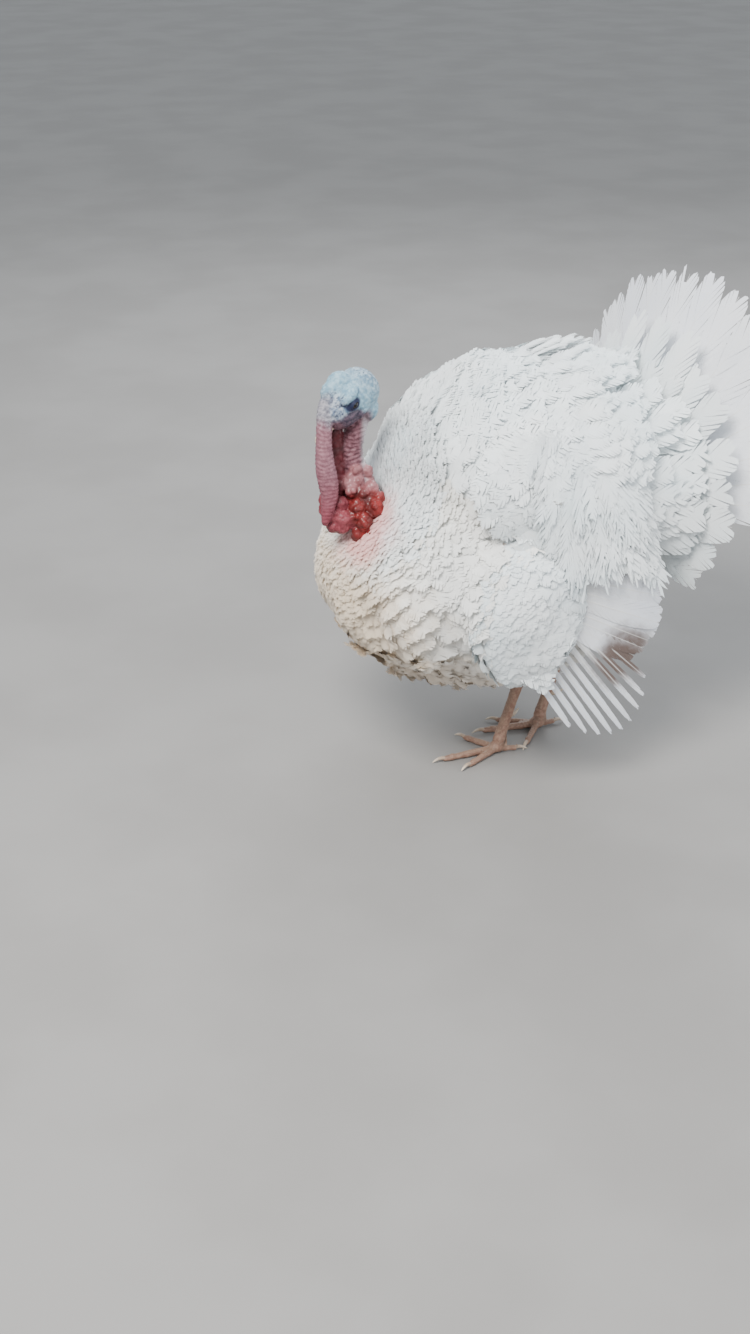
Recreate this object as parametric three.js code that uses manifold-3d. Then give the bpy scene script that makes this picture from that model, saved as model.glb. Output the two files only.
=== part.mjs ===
// A domestic turkey tom in full strut, life size, standing still.
// Millimetres, +Z up. The bird faces -X and its left side is -Y.
// It is drawn with the left foot under x = 0, and the last lines move the whole bird
// so that the origin lies on the floor under the middle of its box.
import * as THREE from "three";
import { mergeVertices } from "three/addons/utils/BufferGeometryUtils.js";
import Module from "manifold-3d";

// ---------- driving dimensions ----------
const gap = 0.3; // clearance between neighbouring pieces
const weld = 1e-3; // vertices closer than this are one vertex

const breastFront = -277; // foremost point of the puffed breast
const breastHeight = 342; // height of that point
const bellyHeight = 130; // lowest point of the belly feathers
const backHeight = 644; // top of the raised back feathers
const rumpEnd = 225; // where the trunk ends under the tail
const bodyHalfWidth = 188; // trunk alone, without the wings

const headCentre = new THREE.Vector3(-226, 0, 607);
const headPitch = -32; // degrees, the bill is tucked down
const headYaw = 20; // degrees, the face turns a little to the left
const eyeRadius = 8.5;
const billLength = 36;
const snoodLength = 190;

const tailBase = new THREE.Vector3(212, 0, 394); // where the fan's quills meet
const tailLean = 23; // degrees, the fan leans back
const tailYaw = 7; // degrees, the fan's face turns a little to the left
const rectrixCount = 18;
const rectrixLength = 376;
const fanSpread = 78; // degrees from upright to the outermost feather
const covertCount = 15;
const covertSpread = 114; // the coverts reach round below the fan
const covertLengthTop = 290;
const covertLengthSide = 214;

const secondaryCount = 8;
const primaryCount = 8;
const quillPlate = 2.2; // thickness of the large feathers

const legs = {
  left: { side: -1, x: 3, y: -45, turn: 0 },
  right: { side: 1, x: 98, y: 6, turn: -8 },
};
const shankRadius = 8.5;
const hockHeight = 158;
const hockBack = 46; // the hock stands this far behind the foot
const soleHeight = 5; // height of a toe's middle line above the floor
const toes = [
  { name: "inner", turn: 27, length: 70, radius: 6.2 },
  { name: "middle", turn: 0, length: 94, radius: 6.8 },
  { name: "outer", turn: -58, length: 66, radius: 6.2 },
  { name: "hind", turn: 168, length: 34, radius: 5.2 },
];
const clawLength = 17;

// ---------- finishes ----------
const finish = (color, roughness) => new THREE.MeshStandardMaterial({ color, roughness, metalness: 0 });
const finishes = {
  feather: finish(0xeeece6, 0.85),
  creamFeather: finish(0xe9e2d2, 0.85),
  quill: finish(0xf0eff0, 0.7),
  headSkin: finish(0x9db4c8, 0.6),
  neckSkin: finish(0xb98a96, 0.6),
  redSkin: finish(0xb3161c, 0.45),
  snoodSkin: finish(0xb06a78, 0.55),
  horn: finish(0xb39c84, 0.5),
  legScale: finish(0xb8a18c, 0.6),
  eye: finish(0x120d0a, 0.08),
};

// ---------- joining and cutting ----------
const wasm = await Module();
wasm.setup();

// A closed geometry as a solid that can be joined and cut.
function solidOf(geometry) {
  const bare = new THREE.BufferGeometry();
  bare.setAttribute("position", geometry.getAttribute("position"));
  bare.setIndex(geometry.index);
  const merged = mergeVertices(bare, weld);
  const corners = merged.index.array;
  const kept = [];
  for (let i = 0; i < corners.length; i += 3) {
    const [a, b, c] = corners.slice(i, i + 3);
    if (a !== b && b !== c && c !== a) kept.push(a, b, c);
  }
  const vertProperties = merged.attributes.position.array;
  const made = new wasm.Manifold(new wasm.Mesh({ numProp: 3, vertProperties, triVerts: new Uint32Array(kept) }));
  if (made.volume() > 0) return made;
  kept.reverse(); // a mirrored shape was drawn inside out
  return new wasm.Manifold(new wasm.Mesh({ numProp: 3, vertProperties, triVerts: new Uint32Array(kept) }));
}

function geometryOf(solid) {
  const mesh = solid.getMesh();
  const geometry = new THREE.BufferGeometry();
  geometry.setAttribute("position", new THREE.BufferAttribute(mesh.vertProperties, 3));
  geometry.setIndex(new THREE.BufferAttribute(mesh.triVerts, 1));
  geometry.computeVertexNormals();
  return geometry;
}

const joined = (solids) => solids.reduce((whole, next) => whole.add(next));

function boxesMeet(a, b) {
  return a.min.every((low, i) => low <= b.max[i] + gap && b.min[i] <= a.max[i] + gap);
}

// Cutting can leave crumbs, so only the main body of a piece is kept.
const biggest = (solid) =>
  solid.decompose().reduce((best, next) => (next.volume() > best.volume() ? next : best));

// Pieces in order: each one is cut by all the earlier ones it would touch.
// room is the space that a piece takes out of later ones, where that is plainer than its shape.
const pieces = [];
function addPiece(group, name, material, shape, room = shape) {
  let solid = shape(0);
  for (const earlier of pieces) {
    if (boxesMeet(solid.boundingBox(), earlier.box)) solid = solid.subtract(earlier.room(gap));
  }
  solid = biggest(solid);
  pieces.push({ room, box: solid.boundingBox() });
  const mesh = new THREE.Mesh(geometryOf(solid), material);
  mesh.name = name;
  group.add(mesh);
}

// ---------- shapes ----------
const vector = (x, y, z) => new THREE.Vector3(x, y, z);
const radians = THREE.MathUtils.degToRad;

// A rounded body along a line of stations. Each station gives its centre and how far the
// body reaches sideways, up and down there. Both ends are round caps.
// startCap and endCap are the shares of the length that they take. topSquareness below 1
// fills out the shoulders of the upper half.
function roundedBody(stations, options, grow) {
  const { sides = 20, rings = 12, startCap = 0.25, endCap = 0.25 } = options;
  const { across = vector(0, 1, 0), topSquareness = 1 } = options;
  const spine = new THREE.CatmullRomCurve3(stations.map((s) => vector(...s.at)));
  const reaches = new THREE.CatmullRomCurve3(stations.map((s) => vector(s.side, s.up, s.down ?? s.up)));
  const ball = new THREE.SphereGeometry(1, sides, rings);
  const place = ball.getAttribute("position");
  const capRings = 0.3; // share of the rings that each cap gets
  for (let i = 0; i < place.count; i++) {
    const share = Math.acos(THREE.MathUtils.clamp(place.getY(i), -1, 1)) / Math.PI;
    let along = THREE.MathUtils.mapLinear(share, capRings, 1 - capRings, startCap, 1 - endCap);
    let swell = 1;
    let push = 0;
    if (share < capRings) {
      const turn = (Math.PI / 2) * (share / capRings);
      along = startCap * (1 - Math.cos(turn));
      swell = Math.sin(turn);
      push = -Math.cos(turn);
    } else if (share > 1 - capRings) {
      const turn = (Math.PI / 2) * ((1 - share) / capRings);
      along = 1 - endCap * (1 - Math.cos(turn));
      swell = Math.sin(turn);
      push = Math.cos(turn);
    }
    along = THREE.MathUtils.clamp(along, 0, 1);
    const round = Math.atan2(place.getZ(i), place.getX(i));
    const centre = spine.getPoint(along);
    const ahead = spine.getTangent(along);
    const reach = reaches.getPoint(along);
    const sideways = across.clone().addScaledVector(ahead, -across.dot(ahead)).normalize();
    const upwards = ahead.clone().cross(sideways);
    const upper = Math.sin(round) > 0;
    const power = upper ? topSquareness : 1;
    const breadth = Math.sign(Math.cos(round)) * Math.abs(Math.cos(round)) ** power;
    const height = Math.sign(Math.sin(round)) * Math.abs(Math.sin(round)) ** power;
    centre.addScaledVector(sideways, (reach.x + grow) * swell * breadth);
    centre.addScaledVector(upwards, ((upper ? reach.y : reach.z) + grow) * swell * height);
    centre.addScaledVector(ahead, grow * push);
    place.setXYZ(i, centre.x, centre.y, centre.z);
  }
  return ball;
}

const lump = (centre, radii, grow, sides = 10, rings = 7) =>
  new THREE.SphereGeometry(1, sides, rings)
    .scale(radii[0] + grow, radii[1] + grow, radii[2] + grow)
    .translate(centre.x, centre.y, centre.z);

// One large feather: a thin plate from root to tip, its broad side towards "facing".
// rootShare is its width at the root as a share of the full width, bow how far its middle
// stands out of the straight line, and roundness the share of its length that the tip takes.
function featherPlate(feather, grow) {
  const { root, tip, facing, width, thickness = quillPlate } = feather;
  const { rootShare = 0.35, bow = 0, roundness = 0.16, steps = 6 } = feather;
  const line = tip.clone().sub(root);
  const length = line.length();
  const along = line.clone().normalize();
  const outward = facing.clone().addScaledVector(along, -facing.dot(along)).normalize();
  const across = outward.clone().cross(along);
  const plate = new THREE.BoxGeometry(1, 1, 1, steps, 1, 1);
  const place = plate.getAttribute("position");
  for (let i = 0; i < place.count; i++) {
    const share = place.getX(i) + 0.5;
    const eased = 1 - (1 - share) ** 1.35;
    const fullness = THREE.MathUtils.lerp(rootShare, 1, Math.min(1, eased / 0.6));
    const fromTip = Math.max(0, (eased - (1 - roundness)) / roundness);
    const half = (width / 2) * fullness * Math.max(0.3, Math.sqrt(1 - fromTip ** 2 * 0.92)) + grow;
    const end = THREE.MathUtils.lerp(-grow, length + grow, eased);
    const spot = root.clone().addScaledVector(along, end);
    spot.addScaledVector(across, 2 * place.getY(i) * half);
    spot.addScaledVector(outward, 2 * place.getZ(i) * (thickness / 2 + grow) + bow * Math.sin(Math.PI * eased));
    place.setXYZ(i, spot.x, spot.y, spot.z);
  }
  return plate;
}

// Feathers that overlap side by side, as one sheet with a rounded tip for each of them.
// roots and tips are curves or functions of the share across the sheet, facing likewise.
// notch is how deep the tips part, as a share of the length, ridge how far each feather's
// middle stands out, and bow how far the sheet swells between root and tip.
function featherFan(fan, grow) {
  const { roots, tips, facing, count, thickness = 3, notch = 0.05, ridge = 1.5, bow = 0 } = fan;
  const { perFeather = 4, steps = 3 } = fan;
  const sheet = new THREE.BoxGeometry(1, 1, 1, count * perFeather, steps, 1);
  const place = sheet.getAttribute("position");
  for (let i = 0; i < place.count; i++) {
    const across = place.getX(i) + 0.5;
    const along = (place.getY(i) + 0.5) ** 0.8;
    const crown = Math.abs(Math.sin(Math.PI * count * across));
    const root = roots(across);
    const line = tips(across).sub(root).multiplyScalar(1 - notch * (1 - crown ** 0.7) * along);
    const outward = facing(across);
    const lift = 2 * place.getZ(i) * (thickness / 2 + grow) + ridge * crown * along + bow * Math.sin(Math.PI * along);
    const length = line.length();
    const end = THREE.MathUtils.lerp(-grow / length, 1 + grow / length, along);
    const spot = root.addScaledVector(line, end).addScaledVector(outward, lift);
    place.setXYZ(i, spot.x, spot.y, spot.z);
  }
  return sheet;
}

// ---------- the bird ----------
const turkey = new THREE.Group();
const head = new THREE.Group();
const trunk = new THREE.Group();
const tail = new THREE.Group();
turkey.add(head, trunk, tail);

// ---------- head: drawn in its own frame, the face towards -X, then tipped and set in place ----------
const headPlace = new THREE.Matrix4()
  .makeTranslation(headCentre)
  .multiply(new THREE.Matrix4().makeRotationZ(radians(headYaw)))
  .multiply(new THREE.Matrix4().makeRotationY(radians(headPitch)));
const inHead = (geometry) => solidOf(geometry.applyMatrix4(headPlace));
const headPoint = (x, y, z) => vector(x, y, z).applyMatrix4(headPlace);

for (const [name, side] of [["left", -1], ["right", 1]]) {
  addPiece(head, "eye_" + name, finishes.eye, (grow) =>
    inHead(lump(vector(-15, side * 21, 5), [eyeRadius, eyeRadius, eyeRadius], grow, 8, 6)));
}

const billRoot = -46;
addPiece(head, "bill_upper", finishes.horn, (grow) =>
  inHead(roundedBody([
    { at: [billRoot, 0, -1], side: 9.5, up: 9, down: 2 },
    { at: [billRoot - 0.4 * billLength, 0, -2], side: 8, up: 7.5, down: 2 },
    { at: [billRoot - 0.75 * billLength, 0, -5], side: 5.5, up: 5, down: 2 },
    { at: [billRoot - billLength, 0, -10], side: 2.6, up: 2.4, down: 1.6 },
  ], { sides: 8, rings: 7, startCap: 0.05, endCap: 0.12 }, grow)));

addPiece(head, "bill_lower", finishes.horn, (grow) =>
  inHead(roundedBody([
    { at: [billRoot, 0, -8.5], side: 8, up: 4, down: 4.5 },
    { at: [billRoot - 0.45 * billLength, 0, -9], side: 6.5, up: 3.4, down: 4 },
    { at: [billRoot - 0.84 * billLength, 0, -10.5], side: 3.2, up: 1.8, down: 2.4 },
  ], { sides: 8, rings: 6, startCap: 0.05, endCap: 0.15 }, grow)));

addPiece(head, "head", finishes.headSkin, (grow) =>
  inHead(roundedBody([
    { at: [46, 0, 2], side: 24, up: 26, down: 26 },
    { at: [20, 0, 2], side: 31, up: 34, down: 33 },
    { at: [-18, 0, 3], side: 29, up: 33, down: 29 },
    { at: [-55, 0, 3], side: 17, up: 22, down: 17 },
  ], { sides: 12, rings: 10, startCap: 0.32, endCap: 0.24 }, grow)));

// ---------- neck, and the bare growths that hang from head and throat ----------
addPiece(head, "neck", finishes.neckSkin, (grow) =>
  solidOf(roundedBody([
    { at: [-206, 0, 600], side: 19, up: 19 },
    { at: [-214, 0, 550], side: 19, up: 19 },
    { at: [-216, 0, 500], side: 21, up: 21 },
    { at: [-206, 0, 448], side: 28, up: 27 },
    { at: [-178, 0, 398], side: 42, up: 38 },
  ], { sides: 14, rings: 9, startCap: 0.12, endCap: 0.2 }, grow)));

// The snood hangs from the forehead over the left side of the bill.
const snoodTop = headPoint(-46, -4, 16);
addPiece(head, "snood", finishes.snoodSkin, (grow) =>
  solidOf(roundedBody([
    { at: [snoodTop.x + 12, snoodTop.y + 2, snoodTop.z + 2], side: 9, up: 9 },
    { at: [-276, -26, snoodTop.z - 0.08 * snoodLength], side: 10, up: 11 },
    { at: [-279, -42, snoodTop.z - 0.3 * snoodLength], side: 10, up: 11 },
    { at: [-276, -44, snoodTop.z - 0.7 * snoodLength], side: 10, up: 11.5 },
    { at: [-271, -44, snoodTop.z - snoodLength], side: 9, up: 10 },
  ], { sides: 10, rings: 11, startCap: 0.06, endCap: 0.09 }, grow)));

// The dewlap runs from the chin down the front of the neck.
addPiece(head, "dewlap", finishes.redSkin, (grow) =>
  solidOf(roundedBody([
    { at: [-247, -3, 570], side: 9, up: 9 },
    { at: [-249, -3, 540], side: 9, up: 13 },
    { at: [-248, -4, 500], side: 10, up: 15 },
    { at: [-243, -5, 462], side: 13, up: 15 },
  ], { sides: 10, rings: 9, startCap: 0.15, endCap: 0.15 }, grow)));

// ---------- trunk ----------
addPiece(trunk, "trunk", finishes.creamFeather, (grow) =>
  solidOf(roundedBody([
    { at: [breastFront, 0, breastHeight], side: 100, up: 68, down: 92 },
    { at: [-206, 0, 340], side: 154, up: 104, down: 136 },
    { at: [-110, 0, 344], side: 182, up: 196, down: 190 },
    { at: [0, 0, 348], side: bodyHalfWidth, up: 226, down: 348 - bellyHeight },
    { at: [110, 0, 352], side: bodyHalfWidth - 8, up: 218, down: 200 },
    { at: [rumpEnd, 0, 376], side: 140, up: 150, down: 130 },
  ], { sides: 20, rings: 13, startCap: 0.24, endCap: 0.25, topSquareness: 0.75 }, grow)));

// The raised feathers of the back, as a cape over the trunk and the tops of the wings.
addPiece(trunk, "back", finishes.feather, (grow) =>
  solidOf(roundedBody([
    { at: [-178, 0, 478], side: 96, up: 60, down: 50 },
    { at: [-96, 0, 484], side: 174, up: 106, down: 54 },
    { at: [-4, 0, 484], side: 200, up: backHeight - 484, down: 56 },
    { at: [94, 0, 486], side: 194, up: backHeight - 488, down: 54 },
    { at: [190, 0, 480], side: 158, up: 124, down: 50 },
  ], { sides: 20, rings: 12, startCap: 0.22, endCap: 0.15 }, grow)));

// Caruncles: a bright cluster round the foot of the neck, smaller lumps further up.
const carunclePlaces = [{ at: vector(-246, -26, 390), radii: [17, 18, 22] }];
const caruncleRows = [
  { height: 490, middle: -212, reach: 20, radius: 12, angles: [-80, 80] },
  { height: 466, middle: -210, reach: 27, radius: 17, angles: [-90, -35, 35, 90] },
  { height: 438, middle: -206, reach: 39, radius: 21, angles: [-88, -35, 15, 75] },
  { height: 412, middle: -204, reach: 53, radius: 21, angles: [-66, 45] },
];
for (const row of caruncleRows) {
  for (const angle of row.angles) {
    const at = vector(
      row.middle - row.reach * Math.cos(radians(angle)),
      row.reach * Math.sin(radians(angle)),
      row.height);
    carunclePlaces.push({ at, radii: [row.radius, row.radius, 1.15 * row.radius] });
  }
}
addPiece(head, "caruncles", finishes.redSkin, (grow) =>
  joined(carunclePlaces.map((c) => solidOf(lump(c.at, c.radii, grow, 6, 4)))));

// ---------- legs ----------
function buildLeg(name, leg) {
  const group = new THREE.Group();
  turkey.add(group);
  const heading = (angle) => vector(-Math.cos(radians(angle)), leg.side * Math.sin(radians(angle)), 0)
    .applyAxisAngle(vector(0, 0, 1), radians(leg.turn));
  const ground = vector(leg.x, leg.y, 0);
  const spot = (along, distance, height) => ground.clone().addScaledVector(along, distance).setZ(height).toArray();

  for (const toe of toes) {
    const along = heading(toe.turn);
    addPiece(group, "claw_" + toe.name + "_" + name, finishes.horn, (grow) =>
      solidOf(roundedBody([
        { at: spot(along, toe.length - 4, soleHeight + 2), side: 3, up: 3.2 },
        { at: spot(along, toe.length + 0.5 * clawLength, soleHeight + 1.4), side: 2.3, up: 2.6 },
        { at: spot(along, toe.length + clawLength, 2.6), side: 0.9, up: 0.9 },
      ], { sides: 6, rings: 5, startCap: 0.1, endCap: 0.1, across: vector(-along.y, along.x, 0) }, grow)));
  }

  const hock = ground.clone().add(vector(hockBack, 0, hockHeight));
  const ankle = ground.clone().add(vector(3, 0, 20));
  const shankAt = (share) => ankle.clone().lerp(hock, share);
  const spurRoot = shankAt(0.32);

  addPiece(group, "spur_" + name, finishes.horn, (grow) =>
    solidOf(roundedBody([
      { at: spurRoot.toArray(), side: 4.5, up: 4.5 },
      { at: [spurRoot.x + 12, spurRoot.y - leg.side * 5, spurRoot.z - 1], side: 3.6, up: 3.6 },
      { at: [spurRoot.x + 24, spurRoot.y - leg.side * 8, spurRoot.z + 5], side: 1, up: 1 },
    ], { sides: 6, rings: 5, startCap: 0.1, endCap: 0.1 }, grow)));

  addPiece(group, "foot_" + name, finishes.legScale, (grow) => {
    const solids = [solidOf(lump(vector(leg.x + 1, leg.y, 10), [14, 12, 13], grow, 6, 4))];
    for (const toe of toes) {
      const along = heading(toe.turn);
      solids.push(solidOf(roundedBody([
        { at: spot(along, -2, soleHeight + 3), side: toe.radius + 1, up: toe.radius + 1.5, down: 8.6 },
        { at: spot(along, 0.34 * toe.length, soleHeight + 1), side: toe.radius, up: toe.radius, down: 7 },
        { at: spot(along, 0.68 * toe.length, soleHeight), side: toe.radius - 0.6, up: toe.radius - 0.8, down: 6 },
        { at: spot(along, toe.length, soleHeight), side: toe.radius - 1.6, up: toe.radius - 2, down: 5.8 },
      ], { sides: 6, rings: 5, startCap: 0.1, endCap: 0.12, across: vector(-along.y, along.x, 0) }, grow)));
    }
    const floor = new THREE.BoxGeometry(400, 400, 20).translate(leg.x, leg.y, -10 - grow);
    return joined(solids).subtract(solidOf(floor));
  });

  addPiece(group, "shank_" + name, finishes.legScale, (grow) =>
    solidOf(roundedBody([
      { at: ankle.toArray(), side: shankRadius + 1, up: shankRadius + 2 },
      { at: shankAt(0.2).toArray(), side: shankRadius - 1, up: shankRadius + 1 },
      { at: shankAt(0.55).toArray(), side: shankRadius - 1.4, up: shankRadius + 0.5 },
      { at: shankAt(0.85).toArray(), side: shankRadius + 0.5, up: shankRadius + 3 },
      { at: shankAt(1).toArray(), side: shankRadius + 4, up: shankRadius + 6 },
    ], { sides: 8, rings: 7, startCap: 0.06, endCap: 0.1 }, grow)));

  addPiece(group, "thigh_" + name, finishes.feather, (grow) =>
    solidOf(roundedBody([
      { at: [hock.x - 12, leg.y, hockHeight - 36], side: 15, up: 17 },
      { at: [hock.x - 8, leg.y + leg.side * 2, hockHeight], side: 30, up: 34 },
      { at: [hock.x - 14, leg.y + leg.side * 10, hockHeight + 60], side: 46, up: 56 },
    ], { sides: 10, rings: 8, startCap: 0.2, endCap: 0.3 }, grow)));
}
for (const [name, leg] of Object.entries(legs)) buildLeg(name, leg);

addPiece(trunk, "undertail", finishes.feather, (grow) =>
  solidOf(roundedBody([
    { at: [96, 0, 276], side: 150, up: 100, down: 112 },
    { at: [184, 0, 304], side: 138, up: 90, down: 104 },
    { at: [262, 0, 352], side: 100, up: 54, down: 78 },
  ], { sides: 14, rings: 8, startCap: 0.25, endCap: 0.4 }, grow)));

// ---------- wings: drooped, the primaries spread towards the floor ----------
function buildWing(name, side) {
  const group = new THREE.Group();
  turkey.add(group);
  const out = (x, y, z) => vector(x, side * y, z);

  const primaryRoots = new THREE.QuadraticBezierCurve3(out(-4, 198, 216), out(22, 201, 236), out(46, 201, 250));
  const primaryTips = new THREE.QuadraticBezierCurve3(out(60, 204, 112), out(130, 214, 72), out(172, 208, 146));
  addPiece(group, "primaries_" + name, finishes.quill, (grow) => {
    const solids = [];
    for (let i = 0; i < primaryCount; i++) {
      const share = i / (primaryCount - 1);
      solids.push(solidOf(featherPlate({
        root: primaryRoots.getPoint(share),
        tip: primaryTips.getPoint(share),
        facing: out(0.1, 1, 0),
        width: 21,
        rootShare: 0.95,
        bow: 3,
        roundness: 0.14,
        steps: 2,
      }, grow)));
    }
    return joined(solids);
  }, (grow) => solidOf(featherFan({
    roots: (share) => primaryRoots.getPoint(THREE.MathUtils.lerp(-0.4, 1.4, share)).add(out(-10, 0, 14)),
    tips: (share) => primaryTips.getPoint(THREE.MathUtils.lerp(-0.12, 1.12, share)),
    facing: () => out(0.1, 1, 0).normalize(),
    count: 1,
    perFeather: 3,
    steps: 3,
    thickness: quillPlate + 8,
    notch: 0,
    ridge: 0,
    bow: 3,
  }, grow)));

  const secondaryRoots = new THREE.LineCurve3(out(-8, 208, 262), out(52, 198, 410));
  const secondaryTips = new THREE.QuadraticBezierCurve3(out(158, 212, 200), out(220, 208, 290), out(156, 194, 376));
  const secondarySheet = (count, thickness, ridge, grow) => solidOf(featherFan({
    roots: (share) => secondaryRoots.getPoint(share),
    tips: (share) => secondaryTips.getPoint(share),
    facing: () => out(0, 1, 0),
    count,
    perFeather: 2,
    steps: 3,
    thickness,
    notch: 0.07,
    ridge,
    bow: 8,
  }, grow));
  const secondaryRidge = 1.5;
  addPiece(group, "secondaries_" + name, finishes.quill,
    (grow) => secondarySheet(secondaryCount, 3, secondaryRidge, grow),
    (grow) => secondarySheet(2, 3 + 2 * secondaryRidge, 0, grow));

  addPiece(group, "wing_" + name, finishes.feather, (grow) =>
    solidOf(roundedBody([
      { at: [-42, side * 190, 196], side: 17, up: 50, down: 46 },
      { at: [-34, side * 201, 262], side: 25, up: 84, down: 76 },
      { at: [-14, side * 198, 350], side: 30, up: 104, down: 92 },
      { at: [20, side * 178, 440], side: 34, up: 96, down: 86 },
    ], { sides: 12, rings: 8, startCap: 0.3, endCap: 0.3 }, grow)));
}
buildWing("left", -1);
buildWing("right", 1);

// ---------- tail: a cone of large feathers that leans back, and its coverts before it ----------
// Both give unit vectors for an angle round the fan, 0 upright and positive to the right.
const tailTurn = new THREE.Quaternion().setFromAxisAngle(vector(0, 0, 1), radians(tailYaw));
const fanDirection = (angle, lean) => {
  const flat = Math.cos(radians(lean));
  return vector(Math.sin(radians(lean)), Math.sin(radians(angle)) * flat, Math.cos(radians(angle)) * flat)
    .applyQuaternion(tailTurn);
};
const fanNormal = (angle, lean) => {
  const steep = Math.sin(radians(lean));
  const flat = Math.cos(radians(lean));
  return vector(-flat, Math.sin(radians(angle)) * steep, Math.cos(radians(angle)) * steep)
    .applyQuaternion(tailTurn);
};

addPiece(tail, "tail_fan", finishes.quill, (grow) => {
  const angleAt = (share) => THREE.MathUtils.lerp(-fanSpread, fanSpread, share);
  return solidOf(featherFan({
    roots: (share) => tailBase.clone().addScaledVector(fanDirection(angleAt(share), tailLean), 50),
    tips: (share) => tailBase.clone().addScaledVector(fanDirection(angleAt(share), tailLean), rectrixLength),
    facing: (share) => fanNormal(angleAt(share), tailLean),
    count: rectrixCount,
    perFeather: 3,
    notch: 0.06,
    ridge: 2.5,
    steps: 1,
  }, grow));
});

const covertBase = tailBase.clone().add(vector(-30, 0, 4));
addPiece(tail, "tail_coverts", finishes.feather, (grow) => {
  const angleAt = (share) => THREE.MathUtils.lerp(-covertSpread, covertSpread, share);
  const sideways = (share) => (Math.abs(share - 0.5) * 2) ** 1.5;
  const lengthAt = (share) => THREE.MathUtils.lerp(covertLengthTop, covertLengthSide, sideways(share));
  const directionAt = (share) => fanDirection(angleAt(share), tailLean - 2);
  return solidOf(featherFan({
    roots: (share) => covertBase.clone().addScaledVector(directionAt(share), 60),
    tips: (share) => covertBase.clone().addScaledVector(directionAt(share), lengthAt(share)),
    facing: (share) => fanNormal(angleAt(share), tailLean - 2),
    count: covertCount,
    thickness: 12,
    notch: 0.09,
    ridge: 4,
    bow: 22,
    perFeather: 2,
    steps: 2,
  }, grow));
});

// ---------- the origin: on the floor, under the middle of the box ----------
turkey.updateMatrixWorld(true);
const box = new THREE.Box3().setFromObject(turkey, true);
const middle = box.getCenter(vector(0, 0, 0));
turkey.position.set(-middle.x, -middle.y, -box.min.z);

const part = new THREE.Group();
part.add(turkey);
export default part;
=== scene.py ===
import math
import bpy
import bmesh
import numpy as np
from mathutils import Matrix, Vector
from mathutils.bvhtree import BVHTree
from mathutils.kdtree import KDTree


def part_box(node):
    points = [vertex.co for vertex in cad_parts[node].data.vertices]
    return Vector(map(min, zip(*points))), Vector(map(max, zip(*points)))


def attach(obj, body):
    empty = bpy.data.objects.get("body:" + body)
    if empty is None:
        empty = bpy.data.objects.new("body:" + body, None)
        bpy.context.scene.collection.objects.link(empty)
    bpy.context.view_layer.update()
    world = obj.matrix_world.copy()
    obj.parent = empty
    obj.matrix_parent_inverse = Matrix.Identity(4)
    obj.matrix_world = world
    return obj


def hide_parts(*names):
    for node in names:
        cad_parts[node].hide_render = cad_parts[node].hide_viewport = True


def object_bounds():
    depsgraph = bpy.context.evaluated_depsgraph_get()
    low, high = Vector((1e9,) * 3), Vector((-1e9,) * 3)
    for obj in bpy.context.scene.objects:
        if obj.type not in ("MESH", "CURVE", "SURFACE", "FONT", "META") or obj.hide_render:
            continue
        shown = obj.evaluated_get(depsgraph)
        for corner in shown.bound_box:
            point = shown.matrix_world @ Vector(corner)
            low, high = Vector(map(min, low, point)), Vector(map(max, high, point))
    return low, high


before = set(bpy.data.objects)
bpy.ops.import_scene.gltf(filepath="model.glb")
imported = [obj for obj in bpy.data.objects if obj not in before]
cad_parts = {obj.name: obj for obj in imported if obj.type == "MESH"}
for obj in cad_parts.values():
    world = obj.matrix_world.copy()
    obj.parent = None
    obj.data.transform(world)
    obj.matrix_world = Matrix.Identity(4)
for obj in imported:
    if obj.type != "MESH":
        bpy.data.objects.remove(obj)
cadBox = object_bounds()
scene = bpy.context.scene

# The bird faces -X, its left side is -Y. Places below are written as on the drawing, in metres from the
# left foot, and shift carries them into the frame.
trunkLow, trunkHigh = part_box("trunk")
breastFront = -0.277
shift = np.array([trunkLow.x - breastFront, (trunkLow.y + trunkHigh.y) / 2, 0.0])


def spot(x, y, z):
    return np.array([x, y, z], float) + shift


# camera and lights

view = dict(
    azimuth=-20.0, dip=27.4, distance=2.74, aim=(0.0, -0.055, 0.0),
    aimAcross=0.0718, aimDown=0.0518, lens=45.88, sensor=36.0,
)


def makeCamera():
    turn, dip = math.radians(view["azimuth"]), math.radians(view["dip"])
    ahead = Vector((-math.sin(turn) * math.cos(dip), math.cos(turn) * math.cos(dip), -math.sin(dip)))
    right = ahead.cross(Vector((0, 0, 1))).normalized()
    up = right.cross(ahead)
    aim = Vector(spot(*view["aim"]))
    reach = ahead + right * view["aimAcross"] - up * view["aimDown"]
    data = bpy.data.cameras.new("camera")
    data.sensor_fit = "VERTICAL"
    data.sensor_height = view["sensor"]
    data.lens = view["lens"]
    data.clip_end = 200
    camera = bpy.data.objects.new("camera", data)
    turned = Matrix((right, up, -ahead)).transposed().to_4x4()
    camera.matrix_world = Matrix.Translation(aim - reach * view["distance"]) @ turned
    scene.collection.objects.link(camera)
    scene.camera = camera


lamps = {
    "softKey": dict(place=(-1.6, -1.5, 3.0), size=1.5, power=205, color=(1.0, 0.985, 0.955)),
    "softFill": dict(place=(1.6, -2.6, 1.9), size=2.4, power=40, color=(0.9, 0.95, 1.0)),
    "softBack": dict(place=(0.9, 2.2, 2.4), size=2.0, power=70, color=(0.94, 0.97, 1.0)),
}


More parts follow.
